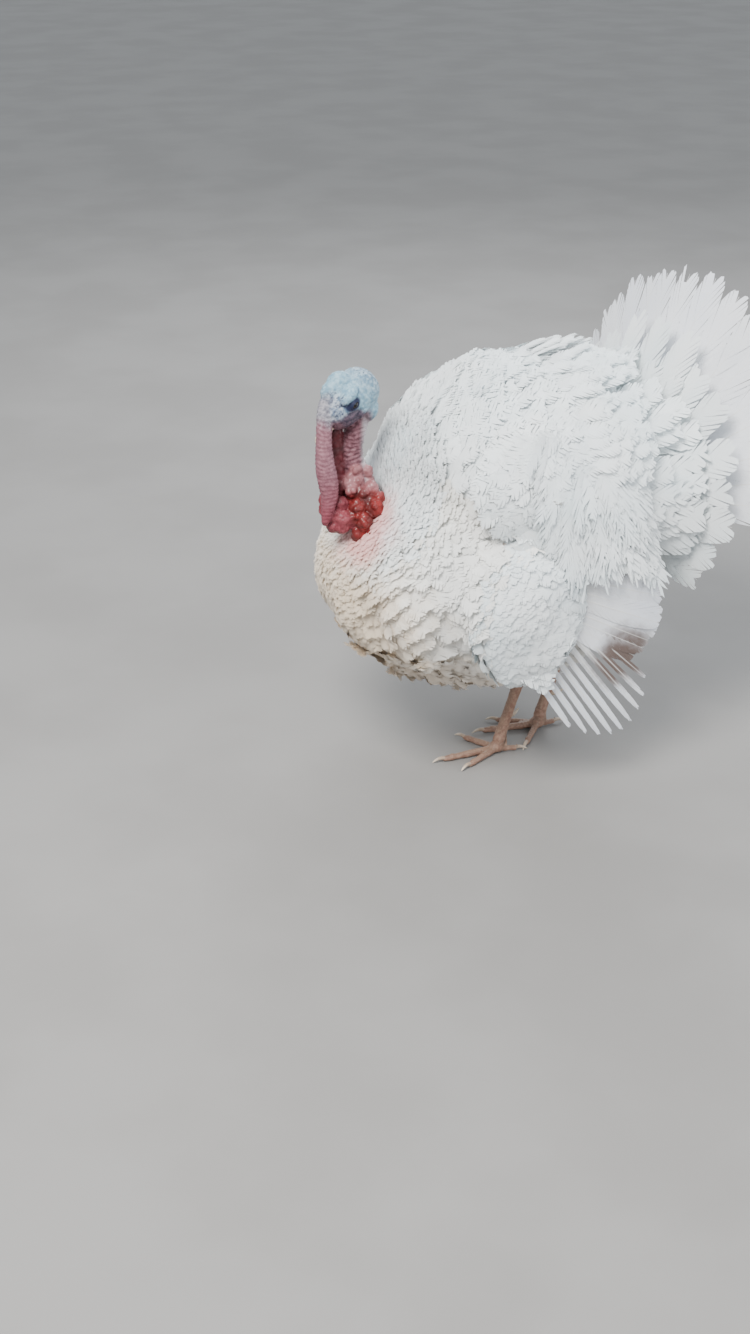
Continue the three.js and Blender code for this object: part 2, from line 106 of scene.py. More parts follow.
def makeLamps():
    for name, lamp in lamps.items():
        data = bpy.data.lights.new(name, "AREA")
        data.shape = "DISK"
        data.size = lamp["size"]
        data.energy = lamp["power"]
        data.color = lamp["color"]
        light = bpy.data.objects.new(name, data)
        place = Vector(lamp["place"])
        aim = Vector((0, 0, 0.35)) - place
        light.matrix_world = Matrix.Translation(place) @ aim.to_track_quat("-Z", "Y").to_matrix().to_4x4()
        scene.collection.objects.link(light)
    world = bpy.data.worlds.new("paleRoom")
    world.use_nodes = True
    world.node_tree.nodes["Background"].inputs["Color"].default_value = (0.80, 0.86, 0.92, 1)
    world.node_tree.nodes["Background"].inputs["Strength"].default_value = 1.05
    scene.world = world


makeCamera()
makeLamps()
print("camera and lights ready")


# shader helpers: Signal wraps a socket, Finish holds one material's nodes

class Signal:
    def __init__(self, finish, socket):
        self.finish, self.socket = finish, socket

    def math(self, operation, first, second):
        return self.finish.add("ShaderNodeMath", dict(operation=operation), {0: first, 1: second})

    def __add__(self, other):
        return self.math("ADD", self, other)

    def __sub__(self, other):
        return self.math("SUBTRACT", self, other)

    def __rsub__(self, other):
        return self.math("SUBTRACT", other, self)

    def __mul__(self, other):
        return self.math("MULTIPLY", self, other)

    def __truediv__(self, other):
        return self.math("DIVIDE", self, other)

    def __rtruediv__(self, other):
        return self.math("DIVIDE", other, self)

    __radd__, __rmul__ = __add__, __mul__


class Finish:
    def __init__(self, name, roughness=0.6, **constants):
        self.material = bpy.data.materials.new(name)
        self.material.use_nodes = True
        self.tree = self.material.node_tree
        self.shader = self.tree.nodes["Principled BSDF"]
        self.shader.inputs["Roughness"].default_value = roughness
        for key, value in constants.items():
            self.shader.inputs[key.replace("_", " ")].default_value = value

    def add(self, kind, settings=None, inputs=None, out=0):
        node = self.tree.nodes.new(kind)
        for key, value in (settings or {}).items():
            setattr(node, key, value)
        for key, value in (inputs or {}).items():
            self.feed(node.inputs[key], value)
        return Signal(self, node.outputs[out])

    def feed(self, socket, value):
        if isinstance(value, Signal):
            self.tree.links.new(value.socket, socket)
        elif hasattr(value, "__len__") and socket.type == "RGBA":
            socket.default_value = (*value[:3], 1)
        else:
            socket.default_value = value

    def coords(self):
        return self.add("ShaderNodeTexCoord", out="Object")

    def attribute(self, name):
        return self.add("ShaderNodeAttribute", dict(attribute_name=name), out="Fac")

    def mapRange(self, value, low, high, toLow=0.0, toHigh=1.0):
        inputs = {0: value, 1: low, 2: high, 3: toLow, 4: toHigh}
        return self.add("ShaderNodeMapRange", dict(interpolation_type="SMOOTHSTEP"), inputs)

    def noise(self, vector, scale, detail=3.0, roughness=0.5):
        inputs = {"Vector": vector, "Scale": scale, "Detail": detail, "Roughness": roughness}
        return self.add("ShaderNodeTexNoise", None, inputs)

    def split(self, vector):
        node = self.add("ShaderNodeSeparateXYZ", None, {0: vector}).socket.node
        return [Signal(self, output) for output in node.outputs]

    def mix(self, amount, first, second, blend="MIX"):
        inputs = {0: amount, 6: first, 7: second}
        return self.add("ShaderNodeMix", dict(data_type="RGBA", blend_type=blend), inputs, out=2)

    def tones(self, signal, low, high, first, second):
        # from the first colour where the signal is low to the second where it is high
        return self.mix(self.mapRange(signal, low, high), first, second)

    def lit(self, color, light):
        grey = self.add("ShaderNodeCombineColor", None, {0: light, 1: light, 2: light})
        return self.mix(1.0, color, grey, "MULTIPLY")

    def bump(self, height, strength, distance):
        inputs = {"Height": height, "Strength": strength, "Distance": distance}
        return self.add("ShaderNodeBump", None, inputs)

    def set(self, **sockets):
        for key, value in sockets.items():
            self.feed(self.shader.inputs[key.replace("_", " ")], value)
        return self.material


# number helpers

def ease(value, low, high):
    share = np.clip((value - low) / (high - low), 0, 1)
    return share * share * (3 - 2 * share)


def blend(low, high, share):
    return low + (high - low) * share


def unit(vectors):
    return vectors / np.maximum(np.linalg.norm(vectors, axis=-1, keepdims=True), 1e-9)


def along(first, second):
    return (first * second).sum(-1, keepdims=True)


def laidFlat(ways, facing):
    # ways turned to lie along a surface
    return unit(ways - along(ways, facing) * facing)


def bowed(start, middle, end, share):
    return (1 - share) ** 2 * start + 2 * share * (1 - share) * middle + share ** 2 * end


def waves(points, size, seed):
    # a smooth random field from -1 to 1, its swells about size across
    random = np.random.default_rng(seed)
    total = np.zeros(points.shape[:-1])
    for _ in range(9):
        pull = unit(random.normal(size=3)) * random.uniform(0.7, 1.5) * math.pi / size
        total += np.sin(points @ pull + random.uniform(0, 2 * math.pi))
    return total / 4.0


# mesh helpers

def meshFrom(name, points, faces):
    mesh = bpy.data.meshes.new(name)
    mesh.vertices.add(len(points))
    mesh.vertices.foreach_set("co", np.ascontiguousarray(points, np.float32).ravel())
    mesh.loops.add(faces.size)
    mesh.loops.foreach_set("vertex_index", np.ascontiguousarray(faces, np.int32).ravel())
    mesh.polygons.add(len(faces))
    mesh.polygons.foreach_set("loop_start", np.arange(0, faces.size, faces.shape[1], dtype=np.int32))
    mesh.update(calc_edges=True)
    mesh.shade_smooth()
    return mesh


def numbersOf(items, key, width, kind=np.float32):
    flat = np.empty(len(items) * width, kind)
    items.foreach_get(key, flat)
    return flat.reshape(-1, width)


def pointsOf(mesh):
    return numbersOf(mesh.vertices, "co", 3).astype(float)


def normalsOf(mesh):
    return numbersOf(mesh.vertices, "normal", 3).astype(float)


def edgesOf(mesh):
    return numbersOf(mesh.edges, "vertices", 2, np.int32)


def trianglesOf(mesh):
    mesh.calc_loop_triangles()
    return numbersOf(mesh.loop_triangles, "vertices", 3, np.int32)


def movePoints(mesh, points):
    mesh.vertices.foreach_set("co", np.ascontiguousarray(points, np.float32).ravel())
    mesh.update()


def smoothed(points, edges, rounds, strength=0.5, weight=1.0):
    count = len(points)
    degree = np.bincount(edges.ravel(), minlength=count)[:, None]
    for _ in range(rounds):
        total = np.empty_like(points)
        for axis in range(3):
            total[:, axis] = (
                np.bincount(edges[:, 0], points[edges[:, 1], axis], count)
                + np.bincount(edges[:, 1], points[edges[:, 0], axis], count)
            )
        points = points + (total / np.maximum(degree, 1) - points) * strength * weight
    return points


def putIn(name, mesh, finish=None):
    piece = bpy.data.objects.new(name, mesh)
    scene.collection.objects.link(piece)
    if finish:
        mesh.materials.clear()
        mesh.materials.append(finish)
    return piece


def modified(mesh, kind, **settings):
    # the mesh as one modifier leaves it
    worker = putIn("worker", mesh)
    modifier = worker.modifiers.new(kind, kind)
    for key, value in settings.items():
        setattr(modifier, key, value)
    depsgraph = bpy.context.evaluated_depsgraph_get()
    result = bpy.data.meshes.new_from_object(worker.evaluated_get(depsgraph))
    bpy.data.objects.remove(worker)
    return result


def meshOf(shape, name):
    mesh = bpy.data.meshes.new(name)
    shape.to_mesh(mesh)
    shape.free()
    return mesh


def nodesCopy(*names):
    shape = bmesh.new()
    for name in names:
        shape.from_mesh(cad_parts[name].data)
    bmesh.ops.remove_doubles(shape, verts=shape.verts, dist=1e-5)
    return meshOf(shape, "copy")


def treeOf(mesh):
    return BVHTree.FromPolygons([tuple(p) for p in pointsOf(mesh)], trianglesOf(mesh).tolist())


def nearest(tree, points):
    # closest places on a surface, their normals and distances
    found = [tree.find_nearest(Vector(p)) for p in points]
    places = np.array([f[0] for f in found], float)
    facing = np.array([f[1] for f in found], float)
    return places, facing, np.array([f[3] for f in found], float)


def setNumbers(mesh, **fields):
    for name, values in fields.items():
        layer = mesh.attributes.new(name, "FLOAT", "POINT")
        layer.data.foreach_set("value", np.ascontiguousarray(values, np.float32).ravel())


def setMap(mesh, name, places, corners):
    layer = mesh.uv_layers.new(name=name)
    layer.data.foreach_set("uv", np.ascontiguousarray(places[corners], np.float32).ravel())


def repeated(faces, perCopy, count):
    # the faces of count copies of one shape, whose points follow each other
    return (faces[None] + perCopy * np.arange(count)[:, None, None]).reshape(-1, 4)


def pointTree(places):
    tree = KDTree(len(places))
    for index, place in enumerate(places):
        tree.insert(place, index)
    tree.balance()
    return tree


def mixedAt(values, corners, shares):
    # the values of a surface's points, at places inside its triangles
    return (values[corners] * shares[(...,) + (None,) * (values.ndim - 1)]).sum(1)


def fit(piece, slot, *nodes):
    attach(piece, "root")
    if nodes:
        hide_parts(*nodes)
    return piece


# the outer form of the feathered body, and the skin inside it

core = dict(voxel=0.006, smoothing=14, filling=50, puffs=0.0055, puffSize=0.055, tufts=0.0045, tuftSize=0.024)
coatDepth = dict(
    trunk=0.017, back=0.024, undertail=0.022, wing_left=0.011, wing_right=0.011,
    thigh_left=0.011, thigh_right=0.011,
)
coreNodes = tuple(coatDepth)
# the cape's overhanging lobe above each wing: from and to, along, out and up, and the hollow below it
lobe = dict(front=(-0.105, -0.085), back=(0.03, 0.07), out=(0.09, 0.14), swell=0.007, hollow=0.009)
neckFoot = spot(-0.200, 0, 0.452)


def ownedBy(owner, *names):
    return np.isin(owner, [coreNodes.index(name) for name in names])


class Body:
    # the outline the feather tips reach, the skin below it and which node each place belongs to
    def __init__(self):
        mesh = modified(nodesCopy(*coreNodes), "REMESH", mode="VOXEL", voxel_size=core["voxel"])
        edges = edgesOf(mesh)
        points = smoothed(pointsOf(mesh), edges, core["smoothing"])
        movePoints(mesh, points)
        # the hollows between the parts are filled, as loose feathers fill them
        rise = along(smoothed(points, edges, core["filling"]) - points, normalsOf(mesh))
        rise *= ease(np.linalg.norm(points - neckFoot, axis=1), 0.08, 0.16)[:, None]
        points = smoothed(points + normalsOf(mesh) * np.clip(rise, 0, 0.03) * 0.95, edges, 4)
        movePoints(mesh, points)
        points = points + normalsOf(mesh) * 0.0015
        self.corners = trianglesOf(mesh)
        gaps = np.array([nearest(treeOf(nodesCopy(name)), points)[2] for name in coreNodes])
        self.owner = gaps.argmin(0)
        self.fromNeck = np.linalg.norm(points - neckFoot, axis=1)
        depth = np.array([coatDepth[name] for name in coreNodes])[self.owner]
        self.edges = edges
        for _ in range(6):
            depth = self.evened(depth)
        depth *= blend(0.25, 1.0, ease(self.fromNeck, 0.05, 0.15))
        self.depth = depth
        self.outline = points
        self.facing = normalsOf(mesh)
        inner = points - self.facing * depth[:, None]
        self.inner = smoothed(inner, edges, 3)
        self.sculpt()
        self.mesh = mesh
        movePoints(mesh, self.outline)
        self.facing = normalsOf(mesh)
        self.tree = treeOf(mesh)

    def evened(self, values):
        count = len(values)
        total = np.bincount(self.edges[:, 0], values[self.edges[:, 1]], count)
        total += np.bincount(self.edges[:, 1], values[self.edges[:, 0]], count)
        degree = np.bincount(self.edges.ravel(), minlength=count)
        return 0.5 * values + 0.5 * total / np.maximum(degree, 1)

    def isPart(self, *names):
        return ownedBy(self.owner, *names)

    def sculpt(self):
        # puffs, tufts below, and the cape's lobes
        place = self.outline - shift
        x, side, z = place[:, 0], np.abs(place[:, 1]), place[:, 2]
        lift = waves(place, core["puffSize"], 3) * core["puffs"] * ease(self.fromNeck, 0.1, 0.2)
        low = (1 - ease(z, 0.16, 0.25)) * ease(z, 0.06, 0.10) * ease(x, -0.26, -0.18)
        lift += waves(place, core["tuftSize"], 7) * core["tufts"] * low * self.isPart("trunk")
        within = ease(x, *lobe["front"]) * (1 - ease(x, *lobe["back"])) * ease(side, *lobe["out"])
        proud = within * ease(z, 0.440, 0.456) * (1 - ease(z, 0.50, 0.56))
        below = within * ease(z, 0.395, 0.43) * (1 - ease(z, 0.440, 0.452))
        lift += lobe["swell"] * proud - lobe["hollow"] * below
        self.outline = self.outline + self.facing * lift[:, None]


body = Body()
print("outer form:", len(body.outline), "points")


# feathers: all of one coat piece in one joined mesh

def vaneTemplate(groups, perGroup, across):
    # rows of barbs in groups that may part, on both sides of the shaft: side, group, row share, reach out
    side, group, row, reach, faces = [], [], [], [], []
    rows = groups * perGroup
    for s in (-1, 1):
        for g in range(groups):
            start = len(side)
            for r in range(perGroup + 1):
                for c in range(across + 1):
                    side.append(s)
                    group.append(g)
                    row.append((g * perGroup + r) / rows)
                    reach.append(c / across)
            width = across + 1
            for r in range(perGroup):
                for c in range(across):
                    a = start + r * width + c
                    quad = (a, a + 1, a + width + 1, a + width)
                    faces.append(quad if s > 0 else quad[::-1])
    return np.array(side), np.array(group), np.array(row), np.array(reach, float), np.array(faces)


def shaftTemplate(steps):
    share, corner, faces = [], [], []
    for i in range(steps + 1):
        for k in range(4):
            share.append(i / steps)
            corner.append(k)
    for i in range(steps):
        for k in range(4):
            a, b = 4 * i + k, 4 * i + (k + 1) % 4
            faces.append((a, a + 4, b + 4, b))
    return np.array(share), np.array(corner), np.array(faces)


class Feathers:
    # base, middle and tip are (n, 3) points of each shaft, and ups the way its upper side faces there
    def __init__(self, name, seed, **form):
        self.name = name
        self.form = dict(
            groups=9, perGroup=1, across=2, bare=0.06, fringe=0.42, soft=0.8, squareness=0.38, taper=0.55,
            sweep=0.16, cup=0.12, fray=0.02, part=0.02, parting=0.25, roll=7.0, shaft=0, shaftWidth=0.0,
            patch=(0.003, 0.003),
        )
        self.form.update(form)
        self.random = np.random.default_rng(seed)
        self.stacks = []

    def add(self, base, middle, tip, ups, width, home):
        count = len(base)
        width = np.broadcast_to(np.asarray(width, float), (count,))
        self.stacks.append([np.asarray(v, float) for v in (base, middle, tip, *ups, width, home)])

    def build(self):
        base, middle, tip, upBase, upMiddle, upTip, width, home = (
            np.concatenate(parts) for parts in zip(*self.stacks)
        )
        form, random, count = self.form, self.random, len(base)
        length = np.linalg.norm(middle - base, axis=1) + np.linalg.norm(tip - middle, axis=1)
        x, y, z, onShaft, faces = self.vanes(width)
        # from the feather's own lengths to its place: a curve through its three points
        s = x[..., None]
        centre = bowed(base[:, None], middle[:, None], tip[:, None], s)
        ahead = unit(2 * (1 - s) * (middle - base)[:, None] + 2 * s * (tip - middle)[:, None])
        smooth = laidFlat(bowed(upBase[:, None], upMiddle[:, None], upTip[:, None], s), ahead)
        out = np.cross(ahead, smooth)
        roll = np.radians(random.normal(size=(count, 1, 1)) * form["roll"])
        out, up = out * np.cos(roll) + smooth * np.sin(roll), smooth * np.cos(roll) - out * np.sin(roll)
        points = centre + out * y[..., None] + up * z[..., None]
        perFeather = points.shape[1]
        allFaces = repeated(faces, perFeather, count)
        mesh = meshFrom(self.name, points.reshape(-1, 3), allFaces)
        setNumbers(mesh, reach=x, tone=np.repeat(random.random(count), perFeather), shaft=onShaft)
        corners = allFaces.ravel()
        vane = np.stack([y / 0.1 + 0.5, x * length[:, None] / 0.1], -1).reshape(-1, 2)
        patch = home[:, None] + np.stack([y / (2 * width[:, None]), x - 0.5], -1) * form["patch"]
        setMap(mesh, "OFBake", patch.reshape(-1, 2), corners)
        setMap(mesh, "vane", vane, corners)
        mesh.uv_layers["OFBake"].active_render = True
        mesh.shade_smooth()
        lit = unit(blend(normalsOf(mesh), smooth.reshape(-1, 3), form["soft"]))
        mesh.normals_split_custom_set_from_vertices(lit.tolist())
        print(self.name, count, "feathers", 2 * len(allFaces), "triangles")
        return mesh

    def vanes(self, width):
        # each feather laid flat: share along its length, metres out and up, which points are shaft, faces
        form, random, count = self.form, self.random, len(width)
        side, group, row, reach, faces = vaneTemplate(form["groups"], form["perGroup"], form["across"])
        rows = form["groups"] * form["perGroup"]
        line = np.rint(row * rows).astype(int)
        slot = group + form["groups"] * (side > 0)
        # where each barb leaves the shaft, and where it ends on the vane's outline
        start = form["bare"] + (0.95 - form["bare"]) * row ** 0.9
        turn = row * math.pi / 2
        # each group of barbs narrows towards its outer end, so the edge is a fringe
        turn = turn + ((group + 0.5) / form["groups"] * math.pi / 2 - turn) * form["fringe"] * reach ** 2
        endAlong = form["bare"] + form["sweep"] + (1 - form["bare"] - form["sweep"]) * np.sin(turn)
        endAcross = np.cos(turn * 0.999) ** form["squareness"] * blend(form["taper"], 1, ease(row, 0, 0.45))
        swing = random.normal(size=(count, 2 * form["groups"])) * form["fray"]
        swing += (random.random((count, 2 * form["groups"])) < form["parting"]) * random.normal(
            size=(count, 2 * form["groups"])) * form["part"]
        ragged = random.normal(size=(count, 2, rows + 1)) * form["fray"] * 0.7
        shiftAlong = swing[:, slot] + ragged[:, (side > 0).astype(int), line]
        alongShare = start + (endAlong + shiftAlong * blend(0.35, 1, row) - start) * reach
        longer = random.normal(size=(count, 2 * form["groups"]))[:, slot] * form["fray"] * 2.2 * reach
        outShare = endAcross * reach ** 0.9 * (1 + 0.6 * shiftAlong + longer)
        tilt = (row * form["groups"] - group) * 0.0004
        x, y = alongShare, side * outShare * width[:, None]
        z = -form["cup"] * width[:, None] * outShare ** 2 - tilt * reach
        raised = random.normal(size=(count, 2 * form["groups"]))[:, slot] * form["fray"]
        z = z + raised * 0.5 * width[:, None] * reach
        onShaft = np.zeros((count, len(side)))
        if form["shaft"]:
            share, corner, more = shaftTemplate(form["shaft"])
            thickness = form["shaftWidth"] * (1 - 0.8 * share)
            spin = corner * math.pi / 2
            x = np.concatenate([x, np.broadcast_to(share * 0.985, (count, len(share)))], 1)
            y = np.concatenate([y, np.broadcast_to(np.cos(spin) * thickness, (count, len(share)))], 1)
            z = np.concatenate([z, np.broadcast_to(np.sin(spin) * thickness * 0.8, (count, len(share)))], 1)
            onShaft = np.concatenate([onShaft, np.ones((count, len(share)))], 1)
            faces = np.concatenate([faces, more + len(side)])
        return x, y, z, onShaft, faces

    def lay(self, finish, slot, *nodes):
        return fit(putIn(self.name, self.build(), finish), slot, *nodes)


def boxUnwrap(points, facing):
    # the body's shape opened out on six sheets, by the way each place faces
    axis = np.abs(facing).argmax(1)
    side = (np.take_along_axis(facing, axis[:, None], 1)[:, 0] > 0).astype(int)
    others = np.array([[1, 2], [0, 2], [0, 1]])[axis]
    flat = np.take_along_axis(points, others, 1)
    low, high = np.array(cadBox[0])[others], np.array(cadBox[1])[others]
    share = 0.04 + 0.92 * (flat - low) / (high - low)
    return np.stack([(axis + share[:, 0]) / 3, (side + share[:, 1]) / 2], -1)


def scatter(surface, corners, radius, wanted, random, crowd=7.0):
    # places spread over the surface, none closer to another than its radius
    a, b, c = (surface[corners[:, i]] for i in range(3))
    area = np.linalg.norm(np.cross(b - a, c - a), axis=1) / 2
    size = radius[corners].mean(1)
    weight = area * wanted[corners].mean(1) / size ** 2
    count = int(crowd * weight.sum())
    if count < 1:
        return np.zeros(0, int), np.zeros((0, 3))
    chosen = random.choice(len(corners), count, p=weight / weight.sum())
    shares = random.random((count, 2))
    shares = np.where(shares.sum(1, keepdims=True) > 1, 1 - shares, shares)
    shares = np.concatenate([1 - shares.sum(1, keepdims=True), shares], 1)
    places, reach = mixedAt(surface, corners[chosen], shares), mixedAt(radius, corners[chosen], shares)
    cell = reach.max()
    keys = np.floor(places / cell).astype(int)
    taken, kept = {}, []
    spots, reaches = places.tolist(), reach.tolist()
    near = [(i, j, k) for i in (-1, 0, 1) for j in (-1, 0, 1) for k in (-1, 0, 1)]
    for index, (kx, ky, kz) in enumerate(keys.tolist()):
        px, py, pz = spots[index]
        limit = reaches[index] ** 2
        crowded = False
        for i, j, k in near:
            for qx, qy, qz in taken.get((kx + i, ky + j, kz + k), ()):
                if (px - qx) ** 2 + (py - qy) ** 2 + (pz - qz) ** 2 < limit:
                    crowded = True
                    break
            if crowded:
                break
        if not crowded:
            taken.setdefault((kx, ky, kz), []).append((px, py, pz))
            kept.append(index)
    kept = np.array(kept)
    return chosen[kept], shares[kept]


# how much each part keeps of the lie of the coat, and the way it pulls its own feathers
lies = (
    (("wing_left", "wing_right"), 0.4, (0.62, 0, -0.62)), (("back",), 1.0, (0.25, 0, 0.05)),
    (("undertail",), 0.4, (0.9, 0, 0.0)), (("thigh_left", "thigh_right"), 0.2, (0.1, 0, -1.0)),
)


def flowAt(places, owner):
    # the lie of the coat: away from the foot of the neck, and down along the wings
    flow = unit(places - spot(-0.196, 0, 0.446))
    for names, kept, pull in lies:
        flow = np.where(ownedBy(owner, *names)[:, None], unit(flow * kept + np.array(pull)), flow)
    return flow


plumes = dict(
    spacing=0.145, halfWidth=0.27, stray=0.10, loose=0.0015, middleRise=-0.22, tipRise=0.0005,
    slot="body_feather",
)


def plumage(name, wanted, piece):
    # length, and per length the spacing and half width; rise: how high tip and middle stand in the coat
    sizes = dict(plumes, **piece)
    seed = sizes["seed"]
    random = np.random.default_rng(seed)
    length = sizes["length"] * np.ones(len(body.outline))
    spacing = length * sizes["spacing"]
    chosen, shares = scatter(body.inner, body.corners, spacing, wanted, random)
    corners = body.corners[chosen]
    inner, top, facing, depth, size = (
        mixedAt(values, corners, shares)
        for values in (body.inner, body.outline, body.facing, body.depth, length)
    )
    facing, size = unit(facing), size * random.uniform(0.86, 1.12, len(top))
    owner = body.owner[corners[np.arange(len(corners)), shares.argmax(1)]]
    flow = flowAt(top, owner) + random.normal(size=top.shape) * sizes["stray"]
    lie = laidFlat(flow, facing)
    halfway, faceHalf, _ = nearest(body.tree, top + lie * size[:, None] * 0.5)
    faceHalf = unit(faceHalf + facing)
    lieHalf = laidFlat(lie, faceHalf)
    end, faceEnd, _ = nearest(body.tree, halfway + lieHalf * size[:, None] * 0.5)
    faceEnd = unit(faceEnd + faceHalf)
    loose = random.normal(size=len(top)) * sizes["loose"]
    if "rows" in sizes:
        # tips gather into slanting rows that overhang the next
        share, gap = mixedAt(sizes["rows"], corners, shares), sizes["rowGap"]
        phase = (np.linalg.norm(end - neckFoot, axis=1) / gap + waves(end, 0.05, 5) * 0.45) * 2 * math.pi
        end = end - lieHalf * (np.sin(phase) * share * gap * 0.14)[:, None]
        loose = loose * (1 - 0.5 * share) + np.cos(phase) * share * sizes["rowRise"]
    if "clumpRise" in sizes:
        share = mixedAt(sizes.get("clumps", np.ones(len(length))), corners, shares)
        loose = loose + np.clip(waves(end, sizes["clump"], 13), -0.4, 1) * sizes["clumpRise"] * share
    middle = halfway + faceHalf * (depth * sizes["middleRise"])[:, None]
    tip = end + faceEnd * (sizes["tipRise"] + loose)[:, None]
    feathers = Feathers(name, seed + 1, **sizes["form"])
    feathers.add(
        inner, middle, tip, (facing, faceHalf, faceEnd), size * sizes["halfWidth"], boxUnwrap(top, facing),
    )
    feathers.lay(sizes["finish"], sizes["slot"])


# the finish of the feathers: barbs, painted soft shade towards the root, the stains the bird has picked up, and painted
# warm light from the floor on the breast and belly

# breast and belly: cream stains, partly painted warm light bounced up from the floor; throat: a pink stain beside the
# red skin
stainsAndBounceLight = dict(
    breast=dict(place=spot(-0.25, -0.02, 0.27), near=0.08, far=0.22, color=(0.72, 0.56, 0.38), amount=0.80),
    belly=dict(place=spot(-0.08, -0.04, 0.12), near=0.07, far=0.20, color=(0.66, 0.53, 0.40), amount=0.65),
    throat=dict(
        place=spot(-0.222, -0.050, 0.425), near=0.030, far=0.085, color=(0.80, 0.36, 0.34), amount=0.75
    ),
)
# dark brown patches where the secondaries meet the primaries, on the near wing and on the far wing
wingDarkPatch = dict(
    place=spot(0.128, -0.214, 0.228), near=0.030, far=0.070, color=(0.095, 0.052, 0.036), amount=0.96
)
farWingDarkPatch = dict(place=spot(0.120, 0.214, 0.215), near=0.010, far=0.055, color=(0.20, 0.13, 0.09), amount=0.8)


def featherFinish(name, white, shade, darkPatches=(), roughness=0.62, gap=(0.55, 0.53, 0.50)):
    finish = Finish(name, roughness, Sheen_Weight=0.25, Sheen_Roughness=0.5)
    coords = finish.coords()
    vane = finish.add("ShaderNodeUVMap", dict(uv_map="vane"))
    across, ahead, _ = finish.split(vane)
    outward = finish.add("ShaderNodeMath", dict(operation="ABSOLUTE"), {0: across - 0.5})
    ahead = ahead - outward * 0.9
    tone, reach, shaft = (finish.attribute(key) for key in ("tone", "reach", "shaft"))
    lines = finish.add("ShaderNodeCombineXYZ", None, {0: ahead * 230.0, 1: outward * 14.0, 2: tone * 37.0})
    barbs = finish.noise(lines, 1.0, 2.0)
    cloud = finish.noise(coords, 9.0, 4.0)
    # painted shade: each feather darkens towards its root to the gap colour, for the shade in the crevices and slits
    # between feathers
    rootShade = finish.mapRange(reach, 0.1, 0.62, 1.0, 0.0)
    color = finish.tones(cloud, 0.35, 0.7, white, shade)
    color = finish.mix(rootShade * 0.6, color, gap)
    for tint in (*stainsAndBounceLight.values(), *darkPatches):
        away = finish.add(
            "ShaderNodeVectorMath", dict(operation="DISTANCE"), {0: coords, 1: tint["place"]}, out=1
        )
        broken = finish.noise(coords, 22.0, 4.0, 0.6) * tint["far"] * 0.7
        broken = broken + tone * 0.008 - tint["far"] * 0.37
        mask = finish.mapRange(away + broken, tint["near"], tint["far"], tint["amount"], 0.0)
        color = finish.mix(mask, color, tint["color"])
    color = finish.lit(color, barbs * 0.16 + tone * 0.08 + 0.86)
    color = finish.mix(shaft * 0.5, color, (0.80, 0.78, 0.74))
    normal = finish.bump(barbs, 0.35, 0.0006)
    return finish.set(Base_Color=color, Roughness=barbs * 0.15 + (roughness - 0.08), Normal=normal)


# each finish's gap colour is painted shade between its feathers; the slit finish's is darkest, for the shaded slits
# between rows of tips
softWhite = featherFinish("softWhiteFeather", (0.85, 0.88, 0.88), (0.77, 0.84, 0.86), gap=(0.66, 0.69, 0.70))
creamWhite = featherFinish(
    "creamWhiteFeather", (0.87, 0.84, 0.78), (0.83, 0.81, 0.76), gap=(0.70, 0.64, 0.55)
)
slitWhite = featherFinish("slitWhiteFeather", (0.87, 0.85, 0.80), (0.82, 0.82, 0.79), gap=(0.30, 0.25, 0.20))
quillWhite = featherFinish(
    "quillWhiteFeather", (0.84, 0.85, 0.88), (0.78, 0.80, 0.86), (wingDarkPatch, farWingDarkPatch), 0.5
)


# contour feathers, region by region

coat = dict(
    neck_feathers=dict(
        seed=11, finish=softWhite, spacing=0.17, loose=0.0008, form=dict(fray=0.03, part=0.05),
    ),
    breast_front_feathers=dict(
        seed=23, finish=creamWhite, slot="breast_feather", spacing=0.155, tipRise=0.0008, loose=0.0005,
        stray=0.05,
        form=dict(fray=0.012, part=0.02, cup=0.06, soft=0.92, fringe=0.2, groups=8),
    ),
    breast_side_feathers=dict(
        seed=29, finish=slitWhite, slot="breast_feather", spacing=0.15, halfWidth=0.30, tipRise=0.0015,
        middleRise=-0.26, rowGap=0.019, rowRise=0.0034, loose=0.0014, clump=0.020, clumpRise=0.010,
        form=dict(fray=0.018, part=0.03, cup=0.12, soft=0.6, fringe=0.25, groups=8),
    ),
    belly_feathers=dict(
        seed=37, finish=slitWhite, length=0.044, loose=0.003, stray=0.4, clump=0.020, clumpRise=0.008,
        form=dict(fray=0.035, part=0.06, soft=0.65),
    ),
    back_feathers=dict(
        seed=41, finish=softWhite, tipRise=0.0008, loose=0.0008, middleRise=-0.14, clump=0.045,
        clumpRise=0.002,
        form=dict(fray=0.025, part=0.03, soft=0.95, cup=0.06),
    ),
    undertail_feathers=dict(
        seed=53, finish=softWhite, length=0.064, loose=0.003, stray=0.2, form=dict(fray=0.045, part=0.06),
    ),
    thigh_feathers=dict(
        seed=61, finish=softWhite, length=0.032, spacing=0.17, loose=0.0008, form=dict(fray=0.03, part=0.04),
    ),
)
wingCoat = dict(
    finish=softWhite, spacing=0.165, stray=0.06, loose=0.0006, clump=0.035, clumpRise=0.0015,
    form=dict(fray=0.012, part=0.02, soft=0.96, fringe=0.2, cup=0.05),
)
coat.update(wing_left_coverts=dict(wingCoat, seed=71), wing_right_coverts=dict(wingCoat, seed=83))


